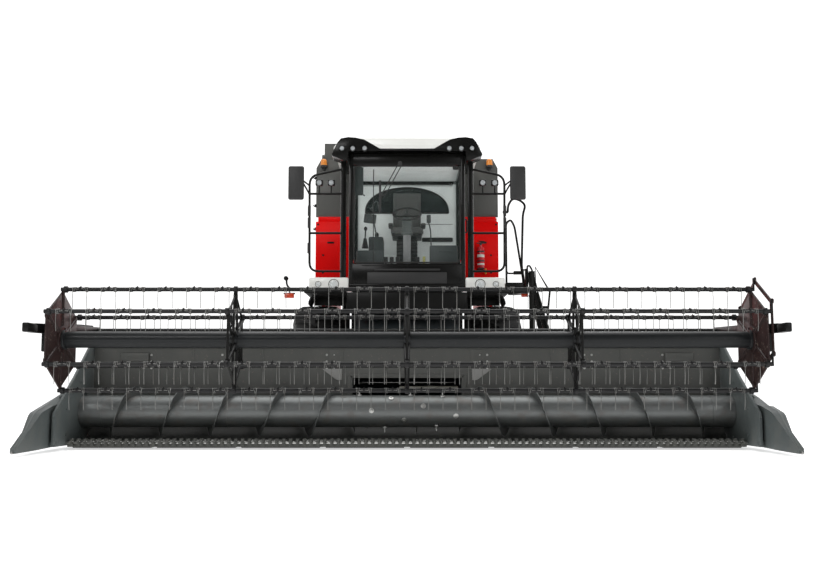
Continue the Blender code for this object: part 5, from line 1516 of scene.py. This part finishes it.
# ---- wheels ----
# Traction tyres with bars in a chevron, moulded round a rounded carcass, on dished steel rims held by a
# ring of nuts. The steering wheels at the back are the same pattern, smaller.
tyre_rubber = moulding("tyre_rubber", (0.016, 0.016, 0.0155), 0.80, 220, 0.10)
# the tyre radius for which the bars' sweep is drawn
PATTERN_R = 0.935


def chevron_tyre(name, body, node, rim_radius, bars, lug):
    """A tyre about its own node's centre: carcass, side ribs and the chevron bars."""
    low, high = reach(node)
    centre = (low + high) / 2
    half, radius = (high.x - low.x) / 2 - 0.001, (high.z - low.z) / 2 - 0.002
    crown = radius - lug
    made = Piece(name)
    shape = [(-0.78, rim_radius + 0.004), (-0.90, rim_radius + 0.04), (-0.985, rim_radius + 0.14),
             (-0.985, crown - 0.20), (-0.93, crown - 0.10), (-0.80, crown - 0.035), (-0.45, crown - 0.006),
             (0, crown), (0.45, crown - 0.006), (0.80, crown - 0.035), (0.93, crown - 0.10),
             (0.985, crown - 0.20), (0.985, rim_radius + 0.14), (0.90, rim_radius + 0.04),
             (0.78, rim_radius + 0.004)]
    made.turned([(x * half, r) for x, r in shape], centre, "x", 72)
    for sign in (1, -1):                                       # moulded rings on the side walls
        for r in (rim_radius + 0.075, crown - 0.155):
            if r < crown - 0.1:
                foot, top = sign * half * 0.95, sign * (half - 0.0015)
                made.turned([(foot, r - 0.012), (top, r - 0.006), (top, r + 0.006), (foot, r + 0.012)],
                            centre, "x", 72)
    stations = [(-0.03, 0.0, 0.0), (0.34, 0.085, 0.003), (0.70, 0.18, 0.012), (0.93, 0.225, 0.050),
                (0.995, 0.235, 0.135)]
    wide = 0.030 / radius
    for n in range(bars * 2):
        sign, start = (1 if n % 2 else -1), math.pi * n / bars
        rings = []
        for across, sweep, drop in stations:
            spread = wide * (1.25 if across > 0.9 else 1.0)
            top, foot = radius - drop, crown - drop - 0.035
            ring = []
            for r, turn in ((foot, -spread * 1.5), (top, -spread), (top, spread), (foot, spread * 1.5)):
                a = start + sweep * PATTERN_R / radius + turn
                ring.append(made.bm.verts.new(centre + Vector((sign * across * half, r * math.sin(a),
                                                               r * math.cos(a)))))
            rings.append(ring)
        for here, there in zip(rings, rings[1:]):
            for k in range(4):
                made.bm.faces.new((here[k], here[(k + 1) % 4], there[(k + 1) % 4], there[k]))
        made.bm.faces.new(rings[0])
        made.bm.faces.new(rings[-1])
    made.done(tyre_rubber, body, node, smooth=40)


def dished_rim(name, body, node, nuts):
    """A rolled rim with a dished disc, its ring of nuts, and the hub cap."""
    low, high = reach(node)
    centre = (low + high) / 2
    half, radius = (high.x - low.x) / 2 - 0.001, (high.z - low.z) / 2 - 0.001
    sign = 1 if centre.x > 0 else -1
    tyre_low, tyre_high = reach(node.replace("rim", "tyre"))
    middle = (tyre_low.x + tyre_high.x) / 2
    centre.x = middle
    half = min(half, abs(high.x - middle), abs(middle - low.x))
    made = Piece(name)
    section = [(-1.0, 1.0), (-0.97, 0.93), (-0.80, 0.945), (-0.55, 0.90), (0.55, 0.90), (0.80, 0.945),
               (0.97, 0.93), (1.0, 1.0),
              (0.985, 0.88), (0.78, 0.90), (0.55, 0.86), (-0.55, 0.86), (-0.78, 0.90), (-0.985, 0.88)]
    made.turned([(a * half, r * radius) for a, r in section], centre, "x", 64)
    seat = -0.17 * sign if radius > 0.4 else -0.15 * sign
    outside = [(0.13, 0.865 * radius), (0.10, 0.80 * radius), (0.03, 0.62 * radius),
               (0.012, 0.45 * radius), (0.012, 0.02)]
    back = [(0.002, 0.02), (0.002, 0.46 * radius), (0.018, 0.64 * radius), (0.088, 0.81 * radius),
            (0.118, 0.87 * radius)]
    made.turned([(seat + rise * sign, r) for rise, r in outside + back], centre, "x", 64)
    made.done(white, body, node)
    fittings = Piece(f"{name}_nuts")
    face = centre.x + seat + 0.012 * sign
    for k in range(nuts):
        a = 2 * math.pi * k / nuts
        fittings.bolts([(face, centre.y + radius * 0.40 * math.sin(a),
                         centre.z + radius * 0.40 * math.cos(a))], (sign, 0, 0),
                       0.016, 0.022)
    fittings.rod((face - 0.004 * sign, centre.y, centre.z), (face + 0.06 * sign, centre.y, centre.z),
                 radius * 0.27, 32, tip=radius * 0.22, round_off=0.006)
    fittings.done(black, body)


for end, rim_r, bars, lug, nuts in (("front", 0.45, 22, 0.048, 10), ("rear", 0.32, 20, 0.034, 8)):
    for side, sign in SIDES:
        chevron_tyre(f"{end}_{side}_tread", f"{end}_{side}_wheel", f"{end}_{side}_tyre", rim_r, bars, lug)
        dished_rim(f"{end}_{side}_disc", f"{end}_{side}_wheel", f"{end}_{side}_rim", nuts)

# ---- axles ----
AXLE_Z = 0.935
for node in ("front_axle", "rear_axle", "knuckle_left", "knuckle_right"):
    dress(node, black)
axle = Piece("axle_fittings")
for sign in (1, -1):
    axle.rod((sign * 0.60, 0, AXLE_Z), (sign * 0.84, 0, AXLE_Z), 0.19, 32, round_off=0.010)
    around = [math.radians(30 * k) for k in range(12)]
    axle.bolts([(sign * 0.60, 0.165 * math.sin(a), AXLE_Z + 0.165 * math.cos(a)) for a in around],
               (-sign, 0, 0), 0.012, 0.010)
axle.rod((-0.16, 0.30, 0.94), (0.16, 0.30, 0.94), 0.10, 28, round_off=0.010)
axle.done(black, "machine")

# ---- feeder house and lift cylinders ----
feed_low, feed_high = reach("feeder_house")
dress("feeder_house", slate)
brace = Piece("feeder_braces")
for sign in (1, -1):
    for k in range(3):
        y = -1.95 + 0.42 * k
        brace.box(one_side(sign, feed_high.x - 0.006, feed_high.x - 0.001), (y, y + 0.05),
                  (0.75 + 0.28 * k, 1.05 + 0.28 * k), 0.004)
brace.done(slate, "header")

roller = Piece("feeder_chain")                                  # the light roller across the feeder's mouth
mouth_y = feed_low.y + 0.10
roller.rod((-0.10, mouth_y, 0.685), (0.64, mouth_y, 0.685), 0.020, 20)
roller.done(enamel("grey_roller", (0.78, 0.75, 0.66), 0.35, dust=0.0, coat=0.1), "header")

slats = Piece("feeder_slats")
for k in range(5):
    slats.box((-0.62, 0.62), (mouth_y + 0.16 + 0.14 * k, mouth_y + 0.19 + 0.14 * k),
              (0.47 + 0.045 * k, 0.50 + 0.045 * k), 0.003)
for x in (-0.44, 0.0, 0.44):
    slats.tube([(x, mouth_y + 0.10, 0.47), (x, mouth_y + 0.80, 0.70)], 0.012, 8)
for z in ((0.74, 0.755), (0.62, 0.632)):
    slats.box((-0.60, 0.60), (mouth_y + 0.02, mouth_y + 0.05), z, 0.003)
slats.done(steel, "header")

oil = enamel("black_enamel_cylinder", (0.010, 0.010, 0.010), 0.3, dust=0.08, coat=0.2)
for side, sign in SIDES:
    barrel_low, barrel_high = reach(f"lift_cylinder_{side}")
    x = (barrel_low.x + barrel_high.x) / 2
    base, eye = Vector((x, -0.10, 0.60)), Vector((x, -1.55, 0.45))
    along = (eye - base).normalized()
    barrel = Piece(f"lift_barrel_{side}")
    barrel.rod(base + along * 0.02, base + along * 0.945, 0.0475, 32, round_off=0.004)
    for t in (0.08, 0.90):
        barrel.rod(base + along * t, base + along * (t + 0.03), 0.0488, 32)
    barrel.done(oil, f"{side}_lift_barrel", f"lift_cylinder_{side}")
    ram = Piece(f"lift_ram_{side}")
    ram.rod(base + along * 0.955, eye - along * 0.02, 0.0262, 28)
    ram.rod(Vector((x - 0.028, eye.y, eye.z)), Vector((x + 0.028, eye.y, eye.z)), 0.042, 24, round_off=0.004)
    ram.done(chrome, f"{side}_lift_rod", f"lift_rod_{side}")

hoses = Piece("header_hoses")
for k in range(3):
    z = 1.06 - 0.05 * k
    hoses.tube(bent([(-0.72, -2.17, z), (-1.10, -2.17, z - 0.02), (-1.75, -2.18, z), (-2.6, -2.18, z + 0.01)],
                    0.08), 0.011, 8)
hoses.done(rubber, "header")
